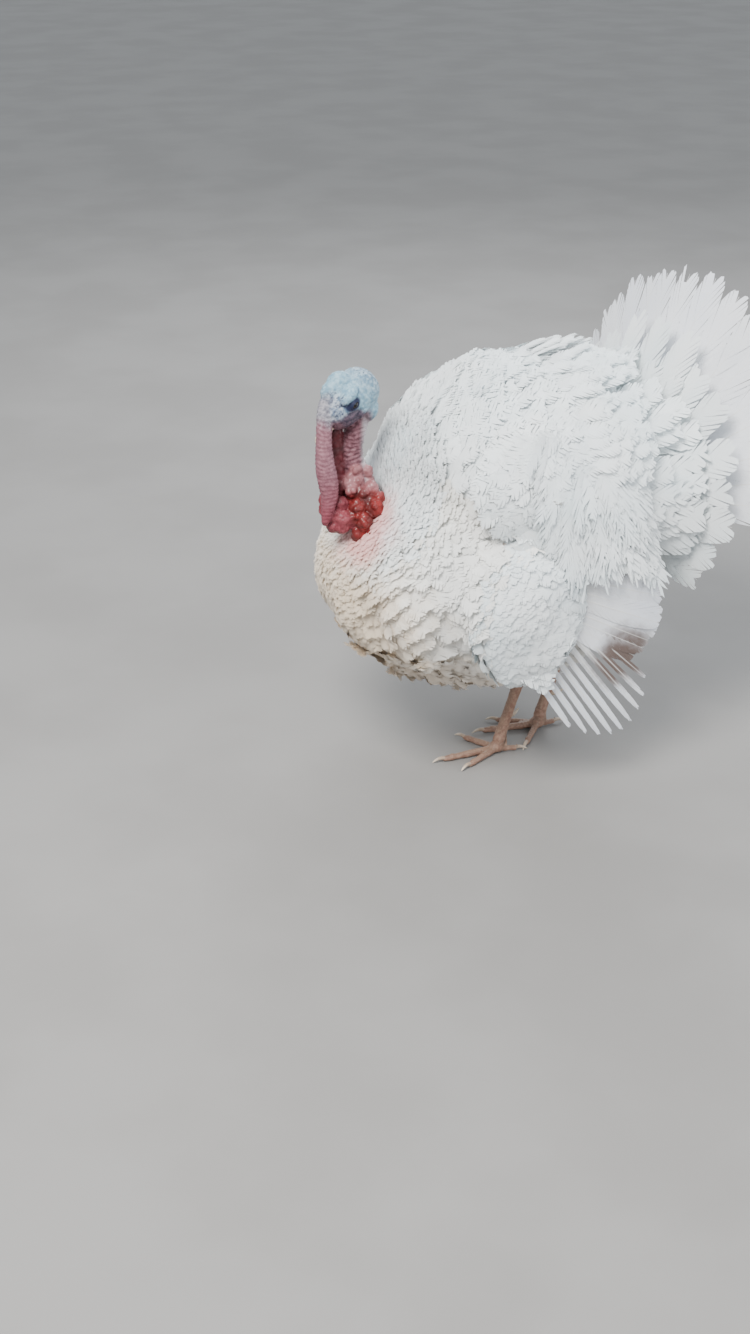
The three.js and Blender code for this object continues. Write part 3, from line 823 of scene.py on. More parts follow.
def dressBody():
    # where each piece grows, and the lengths that change from place to place
    x, y, z = (body.outline - shift).T
    trunk, back = body.isPart("trunk"), body.isPart("back")
    neckSide, young = body.fromNeck < 0.13, ease(body.fromNeck, 0.06, 0.24)
    side, breast = ease(np.abs(y), 0.060, 0.090), trunk & ~neckSide & (x < -0.05)
    rows = side * ease(z, 0.12, 0.20) * (1 - ease(z, 0.36, 0.44)) * (1 - ease(x, -0.15, -0.07))
    clumps = (1 - ease(z, 0.19, 0.25)) * ease(x, -0.25, -0.19)
    bodyLength, wingLength = blend(0.022, 0.052, young), blend(0.038, 0.062, ease(x, -0.075, 0.01))
    wanted = dict(
        neck_feathers=(trunk | back) & neckSide, breast_front_feathers=breast & (side < 0.5),
        breast_side_feathers=breast & (side >= 0.5), belly_feathers=trunk & ~neckSide & (x >= -0.05),
        back_feathers=back & ~neckSide, undertail_feathers=body.isPart("undertail"),
        thigh_feathers=body.isPart("thigh_left", "thigh_right"), wing_left_coverts=body.isPart("wing_left"),
        wing_right_coverts=body.isPart("wing_right"),
    )
    changing = dict(
        neck_feathers=dict(length=bodyLength), breast_front_feathers=dict(length=bodyLength),
        breast_side_feathers=dict(length=bodyLength, rows=rows, clumps=clumps),
        back_feathers=dict(length=blend(0.050, 0.074, young)),
        wing_left_coverts=dict(length=wingLength), wing_right_coverts=dict(length=wingLength),
    )
    for name, piece in coat.items():
        plumage(name, wanted[name].astype(float), dict(piece, **changing.get(name, {})))


def laidRow(feathers, tips, ways, length, lift, width):
    # feathers whose tips end on a line beside the body, their shafts following its outline
    end, faceEnd, _ = nearest(body.tree, tips)
    lie = laidFlat(ways, faceEnd)
    middle, faceMiddle, _ = nearest(body.tree, end - lie * length[:, None] * 0.5)
    faceMiddle = unit(faceMiddle + faceEnd)
    lieMiddle = laidFlat(lie, faceMiddle)
    base, faceBase, _ = nearest(body.tree, middle - lieMiddle * length[:, None] * 0.5)
    faceBase = unit(faceBase + faceMiddle)
    feathers.add(
        base - faceBase * 0.006, middle + faceMiddle * lift * 0.9, end + faceEnd * lift,
        (faceBase, faceMiddle, faceEnd), width, boxUnwrap(end, faceEnd),
    )


drape = dict(
    saddleTips=((-0.014, 0.212, 0.426), (0.004, 0.215, 0.400), (0.022, 0.219, 0.371), (0.052, 0.222, 0.357),
                (0.083, 0.224, 0.360), (0.116, 0.224, 0.364), (0.150, 0.220, 0.354), (0.180, 0.206, 0.344),
                (0.192, 0.180, 0.352)),
    saddleRoots=((0.015, 0.197, 0.494), (0.030, 0.197, 0.486), (0.045, 0.197, 0.480), (0.060, 0.197, 0.476),
                 (0.075, 0.196, 0.472), (0.090, 0.194, 0.468), (0.105, 0.188, 0.466), (0.122, 0.178, 0.464),
                 (0.136, 0.160, 0.462)),
    saddleRows=8, saddlePer=24,
    shoulder=((-0.066, 0.158, 0.560), (-0.086, 0.162, 0.536), (-0.096, 0.168, 0.505), (-0.090, 0.172, 0.466),
              (-0.062, 0.180, 0.440), (-0.028, 0.190, 0.432), (0.010, 0.198, 0.434), (0.040, 0.198, 0.446)),
    shoulderCentre=(0.010, 0.150, 0.560), shoulderRows=7, shoulderPer=26,
)


def lineAt(points, shares):
    points = np.array(points, float)
    place = np.linspace(0, 1, len(points))
    return np.stack([np.interp(shares, place, points[:, i]) for i in range(3)], -1)


def clearOf(points, gap):
    # points moved out of the body until they stand gap off it
    place, facing, _ = nearest(body.tree, points)
    high = along(points - place, facing)
    return points + facing * np.maximum(gap - high, 0)


def drapeSide(name, side, seed):
    # long loose feathers that fall from the back over the wing, and the shoulder's overhanging lobe
    random = np.random.default_rng(seed)
    flip = np.array([1, side, 1])
    feathers = Feathers(
        "saddle_feathers_" + name, seed + 1, squareness=0.62, taper=0.6, fray=0.045, part=0.07, cup=0.10,
        fringe=0.5,
    )
    outward = np.array([0, side, 0.25])
    for row in range(drape["saddleRows"]):
        count = drape["saddlePer"]
        shares = (np.arange(count) + random.uniform(0.0, 1.0, count)) / count
        up = row * 0.0155 + random.normal(size=count) * 0.006
        tips = lineAt(drape["saddleTips"], shares) + np.stack([-0.2 * up, -0.10 * up, up], -1)
        roots = lineAt(drape["saddleRoots"], shares) + np.stack([-0.1 * up, -0.25 * up, 0.8 * up], -1)
        tips = tips * flip + shift + random.normal(size=(count, 3)) * 0.004
        roots = clearOf(roots * flip + shift, 0.0) - outward * 0.004
        tips = clearOf(tips, 0.004)
        middle = clearOf((roots + tips) / 2 + outward * 0.006, 0.006)
        ups = np.broadcast_to(outward, roots.shape)
        width = np.linalg.norm(tips - roots, axis=1) * random.uniform(0.11, 0.16, count)
        feathers.add(roots, middle, tips, (ups, ups, ups), width, boxUnwrap(tips, unit(ups)))
    feathers.lay(softWhite, "body_feather")

    feathers = Feathers(
        "shoulder_feathers_" + name, seed + 3, groups=8, squareness=0.42, fray=0.03, part=0.04, cup=0.10,
        soft=0.85,
    )
    centre = np.array(drape["shoulderCentre"])
    for row in range(drape["shoulderRows"]):
        count = drape["shoulderPer"] - 2 * row
        shares = (np.arange(count) + random.uniform(0.1, 0.9, count)) / count
        edge = lineAt(drape["shoulder"], shares)
        share = 1 - 0.13 * row
        tips = centre + (edge - centre) * share + random.normal(size=(count, 3)) * 0.003
        ways = unit(edge - centre) + random.normal(size=(count, 3)) * 0.08
        length = random.uniform(0.055, 0.070, count)
        proud = np.sin(np.clip(shares * 1.1 + 0.02, 0, 1) * math.pi) ** 0.5
        lift = ((0.011 - 0.0008 * row) * proud + random.normal(size=count) * 0.0008)[:, None]
        laidRow(
            feathers, tips * flip + shift, ways * flip, length, lift,
            length * random.uniform(0.22, 0.28, count)
        )
    feathers.lay(softWhite, "body_feather")


rump = dict(
    rows=11, front=0.070, back=0.176, height=0.43, spread=106, flat=(2.9, 1.2), reach=(0.036, 0.042),
    half=0.016,
    rise=(0.191, 0.200), sides=0.182, longest=0.17,
)
tail = dict(base=(0.212, 0, 0.394), lean=23, yaw=7, count=18, length=0.376, spread=78, halfWidth=0.036)
covert = dict(
    forward=0.030, up=0.004, lean=21, spread=114, top=0.290, side=0.214, swell=0.022,
    rows=(
        dict(count=17, reach=1.00, out=0.004, half=0.036), dict(count=16, reach=0.84, out=0.012, half=0.034),
        dict(count=15, reach=0.68, out=0.019, half=0.031), dict(count=13, reach=0.53, out=0.024, half=0.028),
    ),
)


def beforeTail(points):
    # points kept in front of the tail's coverts
    yaw = math.radians(tail["yaw"])
    local = points - spot(*tail["base"]) + np.array([covert["forward"], 0, -covert["up"]])
    ahead = local[:, 0] * math.cos(yaw) + local[:, 1] * math.sin(yaw)
    side = local[:, 1] * math.cos(yaw) - local[:, 0] * math.sin(yaw)
    limit = np.hypot(side, local[:, 2]) * math.tan(math.radians(covert["lean"])) - 0.022
    back = np.maximum(ahead - limit, 0)[:, None]
    return points - back * np.array([math.cos(yaw), math.sin(yaw), 0])


def makeRump():
    # rows that stand higher and higher from the back until they meet the tail's coverts
    random = np.random.default_rng(141)
    feathers = Feathers(
        "rump_feathers", 143, groups=10, squareness=0.42, taper=0.62, part=0.03, soft=0.94, fringe=0.35,
    )
    for row in range(rump["rows"]):
        share = row / (rump["rows"] - 1)
        count = 30 - row
        angles = np.radians(
            np.linspace(-rump["spread"], rump["spread"], count) + random.normal(size=count) * 2.5
        )
        radial = np.stack([np.zeros(count), np.sin(angles), np.cos(angles)], -1)
        axis = spot(blend(rump["front"], rump["back"], share), 0, rump["height"])
        axis = axis + random.normal(size=(count, 3)) * 0.003
        roots, facing = [], []
        for start, way in zip(axis + radial * 0.5, radial):
            hit = body.tree.ray_cast(Vector(start), Vector(-way))
            found = hit[0] is not None
            roots.append(hit[0] if found else start - way * 0.42)
            facing.append(hit[1] if found else way)
        roots, facing = np.array(roots, float), np.array(facing, float)
        out = along(roots - axis, radial)[:, 0]
        high = blend(rump["sides"], blend(*rump["rise"], share), ease(np.cos(angles), -0.2, 0.9))
        lean = blend(*rump["flat"], share ** 1.5) + 0.9 * np.sin(angles) ** 2
        way = unit(radial + np.array([1.0, 0, 0]) * lean[:, None])
        length = (high - out) / along(way, radial)[:, 0]
        length = np.clip(length, blend(*rump["reach"], share), rump["longest"])
        length = length * random.uniform(0.88, 1.04, count)
        into = along(way, facing)
        way = unit(way - facing * np.minimum(into, 0))
        up = laidFlat(radial, way)
        tips = beforeTail(roots + way * length[:, None])
        middle = beforeTail(roots + way * (0.40 * length)[:, None] + up * 0.004)
        feathers.add(
            roots - way * 0.03, middle, tips, (up, up, up),
            np.maximum(length, 0.05) * 0.16 + rump["half"] * 0.45,
            boxUnwrap(roots, facing),
        )
    feathers.lay(softWhite, "body_feather")


tuft = dict(spacing=0.020, feathers=7, length=(0.024, 0.038), top=(0.195, 0.255), front=(-0.235, -0.165))


def makeTufts():
    # short curled feathers in tufts below the breast and belly
    random = np.random.default_rng(151)
    place = body.outline - shift
    wanted = body.isPart("trunk") * (1 - ease(place[:, 2], *tuft["top"])) * ease(place[:, 0], *tuft["front"])
    chosen, shares = scatter(body.outline, body.corners, np.full(len(place), tuft["spacing"]), wanted, random)
    corners = body.corners[chosen]
    top, facing = mixedAt(body.outline, corners, shares), unit(mixedAt(body.facing, corners, shares))
    flow = flowAt(top, body.owner[corners[:, 0]]) + random.normal(size=top.shape) * 0.35
    lie = laidFlat(flow, facing)
    sideways = np.cross(facing, lie)
    feathers = Feathers(
        "belly_tufts", 153, groups=6, squareness=0.5, taper=0.7, fray=0.04, part=0.06, cup=0.35, soft=0.75,
        fringe=0.5,
    )
    for _ in range(tuft["feathers"]):
        turn = random.normal(size=len(top))[:, None] * 0.7
        way = lie * np.cos(turn) + sideways * np.sin(turn)
        length = random.uniform(*tuft["length"], len(top))[:, None]
        curl = random.uniform(0.10, 0.34, len(top))[:, None]
        up = unit(facing - way * curl * 1.5)
        feathers.add(
            top - facing * 0.007, top + way * 0.42 * length + facing * 0.30 * length,
            top + way * 0.95 * length + facing * curl * length, (facing, facing, up), length[:, 0] * 0.30,
            boxUnwrap(top, facing),
        )
    feathers.lay(creamWhite, "body_feather")


for name, side, seed in (("left", -1, 311), ("right", 1, 331)):
    drapeSide(name, side, seed)
makeTufts()
makeRump()
dressBody()
print("contour feathers ready")


# the tail: its great feathers in a fan, and the coverts before it

def fanWays(angles, lean):
    # the way a feather points at an angle round the fan, and the way its upper side faces
    turn, tilt, yaw = np.radians(angles), math.radians(lean), math.radians(tail["yaw"])
    spin = np.array([[math.cos(yaw), -math.sin(yaw), 0], [math.sin(yaw), math.cos(yaw), 0], [0, 0, 1]])
    flat, steep = math.cos(tilt), math.sin(tilt)
    way = np.stack([np.full_like(turn, steep), np.sin(turn) * flat, np.cos(turn) * flat], -1)
    facing = np.stack([np.full_like(turn, -flat), np.sin(turn) * steep, np.cos(turn) * steep], -1)
    return way @ spin.T, facing @ spin.T


def quillHomes(count):
    return np.stack([(np.arange(count) + 0.5) / count, np.full(count, 0.5)], -1)


def makeTail():
    random = np.random.default_rng(97)
    angles = np.linspace(-tail["spread"], tail["spread"], tail["count"])
    angles += random.uniform(-1.6, 1.6, tail["count"])
    way, facing = fanWays(angles, tail["lean"])
    reach = tail["length"] * random.uniform(0.96, 1.0, (tail["count"], 1))
    base = spot(*tail["base"])
    inner = np.abs(np.arange(tail["count"]) - (tail["count"] - 1) / 2)[:, None]
    layer = facing * (0.010 - 0.0012 * inner)
    feathers = Feathers(
        "tail_feathers", 101, groups=14, perGroup=2, fringe=0.2, across=3, squareness=0.36, taper=0.5,
        fray=0.005, part=0.03, parting=0.10, roll=2.0, shaft=10, shaftWidth=0.0018, cup=0.10,
        patch=(0.9 / tail["count"], 0.9),
    )
    feathers.add(
        base + way * 0.03 + layer, base + way * 0.5 * reach + layer + facing * 0.006,
        base + way * (reach - 0.004) + layer, (facing, facing, facing), tail["halfWidth"],
        quillHomes(tail["count"]),
    )
    feathers.lay(quillWhite, "quill_feather", "tail_fan")

    feathers = Feathers(
        "tail_covert_feathers", 113, groups=14, fringe=0.3, across=3, taper=0.6, fray=0.009, part=0.03,
        parting=0.12,
        roll=4.0, shaft=6, shaftWidth=0.0010, cup=0.14, patch=(0.9 / 16, 0.9 / 5), soft=0.85,
    )
    random = np.random.default_rng(127)
    start = base + np.array([-covert["forward"], 0, covert["up"]])
    for level, row in enumerate(covert["rows"]):
        angles = np.linspace(-covert["spread"], covert["spread"], row["count"])
        angles += random.normal(size=row["count"])
        way, facing = fanWays(angles, covert["lean"])
        sideways = (np.abs(angles) / covert["spread"]) ** 1.5
        length = blend(covert["top"], covert["side"], sideways)[:, None] * row["reach"]
        length = length * random.uniform(0.95, 1.03, length.shape)
        out = facing * row["out"]
        homes = np.stack([(np.arange(row["count"]) + 0.5) / 17, np.full(row["count"], (level + 0.5) / 4)], -1)
        half = row["half"] * random.uniform(0.92, 1.08, row["count"])
        feathers.add(
            start + way * 0.035 + out * 0.5, start + way * 0.5 * length + facing * covert["swell"] + out,
            start + way * length + out, (facing, facing, facing), half, homes,
        )
    feathers.lay(softWhite, "body_feather", "tail_coverts")
    print("tail ready")


makeTail()


# the wings: secondaries in a smooth fan behind, primaries towards the floor, greater coverts over both

def curveAt(points, shares):
    return bowed(*(np.array(point, float) for point in points), shares[:, None])


wing = dict(
    secondaries=12, primaries=9, greater=16,
    primaryRoots=((-0.022, 0.194, 0.236), (-0.002, 0.199, 0.306), (0.058, 0.198, 0.296)),
    primaryTips=((0.054, 0.204, 0.121), (0.158, 0.216, 0.058), (0.172, 0.206, 0.186)),
    secondaryRoots=((0.004, 0.206, 0.318), (0.024, 0.204, 0.365), (0.052, 0.198, 0.410)),
    secondaryTips=((0.149, 0.212, 0.226), (0.224, 0.209, 0.292), (0.156, 0.194, 0.378)),
    greaterRoots=((-0.050, 0.196, 0.262), (-0.056, 0.206, 0.350), (-0.030, 0.198, 0.446)),
    greaterTips=((0.010, 0.208, 0.198), (0.044, 0.222, 0.285), (0.046, 0.206, 0.404)),
)


def makeWing(name, side, seed):
    flip = np.array([1, side, 1])
    outward = np.array([0, side, 0.0])
    random = np.random.default_rng(seed)

    def quills(piece, roots, tips, count, bow, layer, half, node, grow=0.0, **form):
        shares = np.linspace(0, 1, count)
        start, end = curveAt(roots, shares) * flip + shift, curveAt(tips, shares) * flip + shift
        lift = outward * (layer * (shares[:, None] - 0.5))
        ups = np.broadcast_to(outward, start.shape)
        end = end + (end - start) * grow + random.normal(size=end.shape) * 0.0015
        feathers = Feathers(piece, seed, patch=(0.9 / count, 0.9), **form)
        feathers.add(
            start + lift, (start + end) / 2 + outward * bow + lift, end + lift, (ups, ups, ups), half,
            quillHomes(count),
        )
        feathers.lay(quillWhite, "quill_feather", node)

    quills(
        "primary_feathers_" + name, wing["primaryRoots"], wing["primaryTips"], wing["primaries"], 0.003,
        0.006, 0.0054, "primaries_" + name, groups=12, perGroup=3, fringe=0.1, squareness=0.5, taper=0.8,
        fray=0.006, parting=0.2, roll=6.0, shaft=10, shaftWidth=0.0018, cup=0.2,
    )
    quills(
        "secondary_feathers_" + name, wing["secondaryRoots"], wing["secondaryTips"], wing["secondaries"],
        0.008, 0.012, 0.022, "secondaries_" + name, groups=14, perGroup=2, fringe=0.08, across=3,
        squareness=0.5, taper=0.7, fray=0.003, parting=0.06, roll=2.0, shaft=10, shaftWidth=0.0018, cup=0.10, grow=0.02,
    )

    feathers = Feathers(
        "greater_coverts_" + name, seed + 5, groups=12, fringe=0.25, across=3, squareness=0.42, taper=0.7,
        fray=0.012,
        roll=4.0, shaft=6, shaftWidth=0.0010, cup=0.10, patch=(0.9 / wing["greater"], 0.3), soft=0.9,
    )
    for level in range(2):
        shares = np.linspace(0.0, 1.0, wing["greater"])
        back = np.array([-0.020, 0.0, 0.012]) * level
        start = curveAt(wing["greaterRoots"], shares) * flip + shift + back
        end = curveAt(wing["greaterTips"], shares) * flip + shift + back
        end += random.normal(size=start.shape) * 0.002
        ups = np.broadcast_to(outward, start.shape)
        homes = np.stack(
            [(np.arange(len(shares)) + 0.5) / len(shares), np.full(len(shares), (level + 0.5) / 3)], -1
        )
        feathers.add(
            start - outward * 0.006, (start + end) / 2 + outward * 0.002, end + outward * 0.004,
            (ups, ups, ups),
            0.017 - 0.002 * level, homes,
        )
    feathers.lay(softWhite, "body_feather")


makeWing("left", -1, 211)
makeWing("right", 1, 223)
print("wings ready")


# the bare parts: rounded forms along stations, as on the drawing

def stationCurve(values, share):
    # a smooth curve through the stations' values
    values = np.array(values, float)
    last = len(values) - 1
    place = np.clip(share, 0, 1) * last
    low = np.minimum(place.astype(int), last - 1)
    s = (place - low)[:, None]
    a, b = values[np.maximum(low - 1, 0)], values[low]
    c, d = values[low + 1], values[np.minimum(low + 2, last)]
    return 0.5 * (
        2 * b + (c - a) * s + (2 * a - 5 * b + 4 * c - d) * s ** 2 + (3 * b - a - 3 * c + d) * s ** 3
    )


ballShapes = {}


def ballShape(sides, rings):
    if (sides, rings) not in ballShapes:
        shape = bmesh.new()
        bmesh.ops.create_uvsphere(shape, u_segments=sides, v_segments=rings, radius=1.0)
        mesh = meshOf(shape, "ball")
        ballShapes[sides, rings] = mesh, pointsOf(mesh)
    return ballShapes[sides, rings]


def addForm(shape, mesh, points, turn=None):
    # millimetres on the drawing become metres in the frame
    if turn is not None:
        points = points @ np.array(turn.to_3x3()).T + np.array(turn.translation)
    movePoints(mesh, points / 1000 + shift)
    shape.from_mesh(mesh)


def roundedForm(shape, stations, sides=24, rings=20, startCap=0.1, endCap=0.1, across=(0, 1, 0), turn=None):
    # stations: (x, y, z, side, up, down) in millimetres on the drawing, or in the frame that turn gives
    mesh, ball = ballShape(sides, rings)
    share = np.arccos(np.clip(ball[:, 2], -1, 1)) / math.pi
    capRings = 0.3  # the share of the rings in each rounded end
    first = np.sin(math.pi / 2 * np.clip(share / capRings, 0, 1))
    final = np.sin(math.pi / 2 * np.clip((1 - share) / capRings, 0, 1))
    swell = np.where(share < capRings, first, np.where(share > 1 - capRings, final, 1))
    middle = startCap + (1 - endCap - startCap) * (share - capRings) / (1 - 2 * capRings)
    start = startCap * (1 - np.cos(math.pi / 2 * share / capRings))
    end = 1 - endCap * (1 - np.cos(math.pi / 2 * (1 - share) / capRings))
    at = np.where(share < capRings, start, np.where(share > 1 - capRings, end, middle))
    spine = np.array([s[:3] for s in stations], float)
    reach = stationCurve([s[3:6] for s in stations], at)
    centre = stationCurve(spine, at)
    ahead = unit(
        stationCurve(spine, np.minimum(at + 0.01, 1)) - stationCurve(spine, np.maximum(at - 0.01, 0))
    )
    sideways = laidFlat(np.array(across, float), ahead)
    upwards = np.cross(ahead, sideways)
    turnOf = np.arctan2(ball[:, 1], ball[:, 0])[:, None]
    height = np.where(np.sin(turnOf) > 0, reach[:, 1:2], reach[:, 2:3])
    around = sideways * reach[:, :1] * np.cos(turnOf) + upwards * height * np.sin(turnOf)
    points = centre + around * swell[:, None]
    addForm(shape, mesh, points, turn)


def ballForm(shape, centre, radii, turn=None, sides=20):
    mesh, ball = ballShape(sides, sides * 3 // 4)
    addForm(shape, mesh, ball * np.array(radii, float) + np.array(centre, float), turn)


def ridgeForm(shape, points, radius):
    # a soft closed ridge along points, as a curve with a round section, in the drawing's millimetres
    curve = bpy.data.curves.new("ridge", "CURVE")
    curve.dimensions = "3D"
    curve.bevel_depth = radius / 1000
    curve.bevel_resolution = 3
    curve.use_fill_caps = True
    line = curve.splines.new("POLY")
    line.points.add(len(points) - 1)
    for knot, point in zip(line.points, np.array(points) / 1000 + shift):
        knot.co = (*point, 1)
    line.use_cyclic_u = True
    worker = bpy.data.objects.new("ridge", curve)
    scene.collection.objects.link(worker)
    mesh = bpy.data.meshes.new_from_object(worker.evaluated_get(bpy.context.evaluated_depsgraph_get()))
    bpy.data.objects.remove(worker)
    shape.from_mesh(mesh)


def finished(shape):
    bmesh.ops.recalc_face_normals(shape, faces=shape.faces)
    return meshOf(shape, "form")


head = dict(
    centre=(-226, 0, 607), pitch=-32, yaw=20, eye=(-13, 23, 9), eyeRadius=8.5, billRoot=-46, billLength=36
)
headTurn = (
    Matrix.Translation(head["centre"])
    @ Matrix.Rotation(math.radians(head["yaw"]), 4, "Z")
    @ Matrix.Rotation(math.radians(head["pitch"]), 4, "Y")
)


def inHead(points):
    # from the frame, in metres, to the head's own frame, in millimetres: the face towards -X
    back = headTurn.inverted()
    return ((points - shift) * 1000) @ np.array(back.to_3x3()).T + np.array(back.translation)


def frameOf(point):
    # a place in the head's own frame, in the whole bird's frame
    return tuple(np.array(headTurn @ Vector(point)) / 1000 + shift)


growths = dict(
    skull=((46, 0, 2, 24, 26, 26), (20, 0, 2, 30, 32, 33), (-18, 0, 3, 28, 32, 29), (-55, 0, 3, 18, 23, 17)),
    # brow, cheek, nostril and nape swellings of one side, in the head's own frame, with their radii
    pads=(
        ((-10, 20, 22), (19, 10.5, 9)), ((-4, 19, -11), (19, 10, 11)), ((-34, 12, 12), (13, 9, 10)),
        ((18, 17, 0), (13, 12, 18)),
    ),
    crown=((12, 0, 24), (24, 18, 11)),
    # the snood's swollen root, and the throat
    joins=(
        ((-253, -6, 620), (20.5, 14, 20.5)), ((-243, -2, 632), (20, 16, 17.5)), ((-207, 0, 591), (22, 19, 22)),
    ),
    neck=(
        (-210, 0, 600, 17, 17, 17), (-219, 0, 566, 16.5, 16, 16), (-225, 0, 536, 15.5, 15.5, 15.5),
        (-224, 0, 510, 17, 17, 17), (-216, 0, 480, 22, 22, 22), (-204, 0, 446, 28, 27, 27),
        (-178, 0, 398, 42, 38, 38),
    ),
    # the thin flap of the throat
    flap=(
        (-248, -3, 574, 6, 8, 8), (-251, -4, 545, 5, 12, 12), (-252, -6, 505, 6, 15, 15),
        (-248, -10, 465, 12, 15, 15),
    ),
    snood=(
        (-252, -4, 613, 12, 12, 12), (-264, -9, 607, 12.5, 12.5, 12.5), (-272, -18, 594, 11, 11.5, 11.5),
        (-276, -27, 578, 10.5, 11.5, 11.5), (-279, -34, 556, 10.5, 11.6, 11.6),
        (-280, -38, 537, 11.5, 13.2, 13.2),
        (-279, -41, 518, 12.5, 14.5, 14.5), (-276, -43, 498, 12, 14.5, 14.5),
        (-275, -44, 480, 11, 12.8, 12.8),
        (-278, -45, 463, 9.5, 10, 10), (-281, -45, 448, 7.5, 7.4, 7.4), (-283, -45, 436, 5.5, 5.0, 5.0),
    ),
    # the fleshy mass that hangs behind the snood's end, flat below
    mass=(
        (-256, -34, 462, 12), (-264, -35, 446, 14), (-253, -41, 440, 14), (-267, -37, 431, 11),
        (-255, -41, 430, 12), (-243, -38, 434, 12), (-250, -28, 448, 15),
    ),
    # the big lumps of the left side, from which the right side's are mirrored
    lumps=(
        (-225, -49, 436, 14), (-206, -43, 452, 14.5), (-199, -45, 436, 12), (-232, -43, 456, 13),
        (-216, -48, 418, 13), (-233, -46, 416, 11), (-221, -34, 472, 10.5), (-195, -34, 463, 9.5),
        (-242, -42, 443, 11), (-236, -28, 477, 10), (-205, -27, 476, 11), (-225, -18, 503, 9.5),
        (-207, -13, 497, 10), (-224, -22, 488, 10), (-204, -15, 482, 10), (-234, -18, 493, 8),
        (-238, -20, 485, 8.5),
        (-222, -30, 430, 20), (-212, -26, 452, 22), (-228, -22, 448, 20),
    ),
    lobes=((-231, -47, 401, 9, 9, 14), (-230, -48, 391, 9.6, 9.6, 11)),
    knobs=(
        (-227, -61, 436, 5.5), (-209, -56, 458, 5), (-236, -56, 448, 4.5), (-219, -60, 421, 5),
        (-199, -54, 446, 4.5),
    ),
)


def headForms():
    # each bare part as its own closed form
    forms = {}
    random = np.random.default_rng(5)
    skull = bmesh.new()
    roundedForm(skull, growths["skull"], 48, 40, 0.32, 0.24, turn=headTurn)
    for side in (-1, 1):
        for (x, y, z), radii in growths["pads"]:
            ballForm(skull, (x, side * y, z), radii, headTurn)
    ballForm(skull, *growths["crown"], headTurn)
    for centre, radii in growths["joins"]:
        ballForm(skull, centre, radii)
    forms["head"] = finished(skull)
    neck = bmesh.new()
    roundedForm(neck, growths["neck"], 40, 40, 0.08, 0.15)
    forms["neck"] = finished(neck)
    hanging = bmesh.new()
    roundedForm(hanging, growths["snood"], 28, 70, 0.05, 0.05)
    forms["snood"] = finished(hanging)
    flap = bmesh.new()
    roundedForm(flap, growths["flap"], 24, 30, 0.15, 0.15)
    for x, y, z, radius in growths["mass"]:
        ballForm(flap, (x, y, z), (radius, radius, radius))
        ballForm(flap, (x + 6, -y * 0.4, z + 4), (radius, radius, radius))
    forms["dewlap"] = finished(flap)
    lumps = bmesh.new()
    for side in (1, -1):
        for x, y, z, radius in growths["lumps"] + growths["knobs"]:
            x, y, z = np.array([x, side * y, z]) + (side < 0) * random.uniform(-2, 2, 3)
            ballForm(lumps, (x, y, z), (radius * 0.96, radius * 0.96, radius * 1.04))
            for _ in range(2 if radius > 8 else 0):
                way = unit(random.normal(size=3) + np.array([0, 0.8 * np.sign(y), 0]))
                small = radius * random.uniform(0.3, 0.45)
                place = np.array([x, y, z]) + way * (radius * 0.95 - small * 0.5)
                ballForm(lumps, place, (small, small, small * 1.2), None, 12)
        for x, y, z, *radii in growths["lobes"]:
            ballForm(lumps, (x, side * y * (1 if side > 0 else 0.8), z + (side < 0) * 9), radii)
    forms["caruncles"] = finished(lumps)
    return forms


def lidShape(x, z):
    # the opening's edge between the lids: points along an almond in the head's side view
    line = []
    for turn in np.linspace(0, 2 * math.pi, 36, endpoint=False):
        reach, high = 6.6 * math.cos(turn), math.sin(turn)
        high = (4.3 if high > 0 else 3.9) * high * (1 - 0.25 * abs(math.cos(turn)) ** 3)
        line.append((x + reach * 0.98 - high * 0.12, z + high + reach * 0.12))
    return line


def lidCutter(side):
    # a closed prism through the lids
    x, y, z = head["eye"]
    shape = bmesh.new()
    rim = lidShape(x, z)
    ends = []
    for depth in (y + 1.0, y + 22.0):
        ends.append([shape.verts.new(Vector(frameOf((px, side * depth, pz)))) for px, pz in rim])
    shape.faces.new(ends[0])
    shape.faces.new(ends[1])
    for one, two in zip(range(len(rim)), list(range(1, len(rim))) + [0]):
        shape.faces.new((ends[0][one], ends[0][two], ends[1][two], ends[1][one]))
    return finished(shape)


def lidRing(side, wide, thick, radius):
    # a soft fold that follows the lids' edge on a ball round the eye
    x, y, z = head["eye"]
    line = []
    for px, pz in lidShape(0, 0):
        px, pz = px * wide, pz * wide
        reach = math.sqrt(max(radius ** 2 - px ** 2 - pz ** 2, 1))
        line.append(np.array(headTurn @ Vector((x + px, side * (y + reach), z + pz))))
    shape = bmesh.new()
    ridgeForm(shape, line, thick)
    return finished(shape)


def joinedMesh(*meshes):
    shape = bmesh.new()
    for mesh in meshes:
        shape.from_mesh(mesh)
    return finished(shape)


def combined(first, second, operation):
    other = putIn("other", second)
    other.hide_render = True
    result = modified(first, "BOOLEAN", operation=operation, object=other, solver="MANIFOLD")
    bpy.data.objects.remove(other)
    return result


def pebbles(points, corners, spacing, seed, reach=0.72):
    # low domes crowded over the skin, with creases between them
    random = np.random.default_rng(seed)
    chosen, shares = scatter(points, corners, spacing, np.ones(len(points)), random, 5.0)
    seeds, size = (mixedAt(values, corners[chosen], shares) for values in (points, spacing))
    tree = pointTree(seeds)
    found = [tree.find(point)[1:] for point in points]
    index = np.array([f[0] for f in found])
    away = np.array([f[1] for f in found])
    return np.clip(1 - (away / (size[index] * reach)) ** 2, -0.4, 1)


def gapTo(tree, points, limit):
    found = [tree.find_nearest(Vector(point), limit)[3] for point in points]
    return np.array([limit if gap is None else gap for gap in found])


bareSkin = dict(voxel=0.0015, smoothing=3)
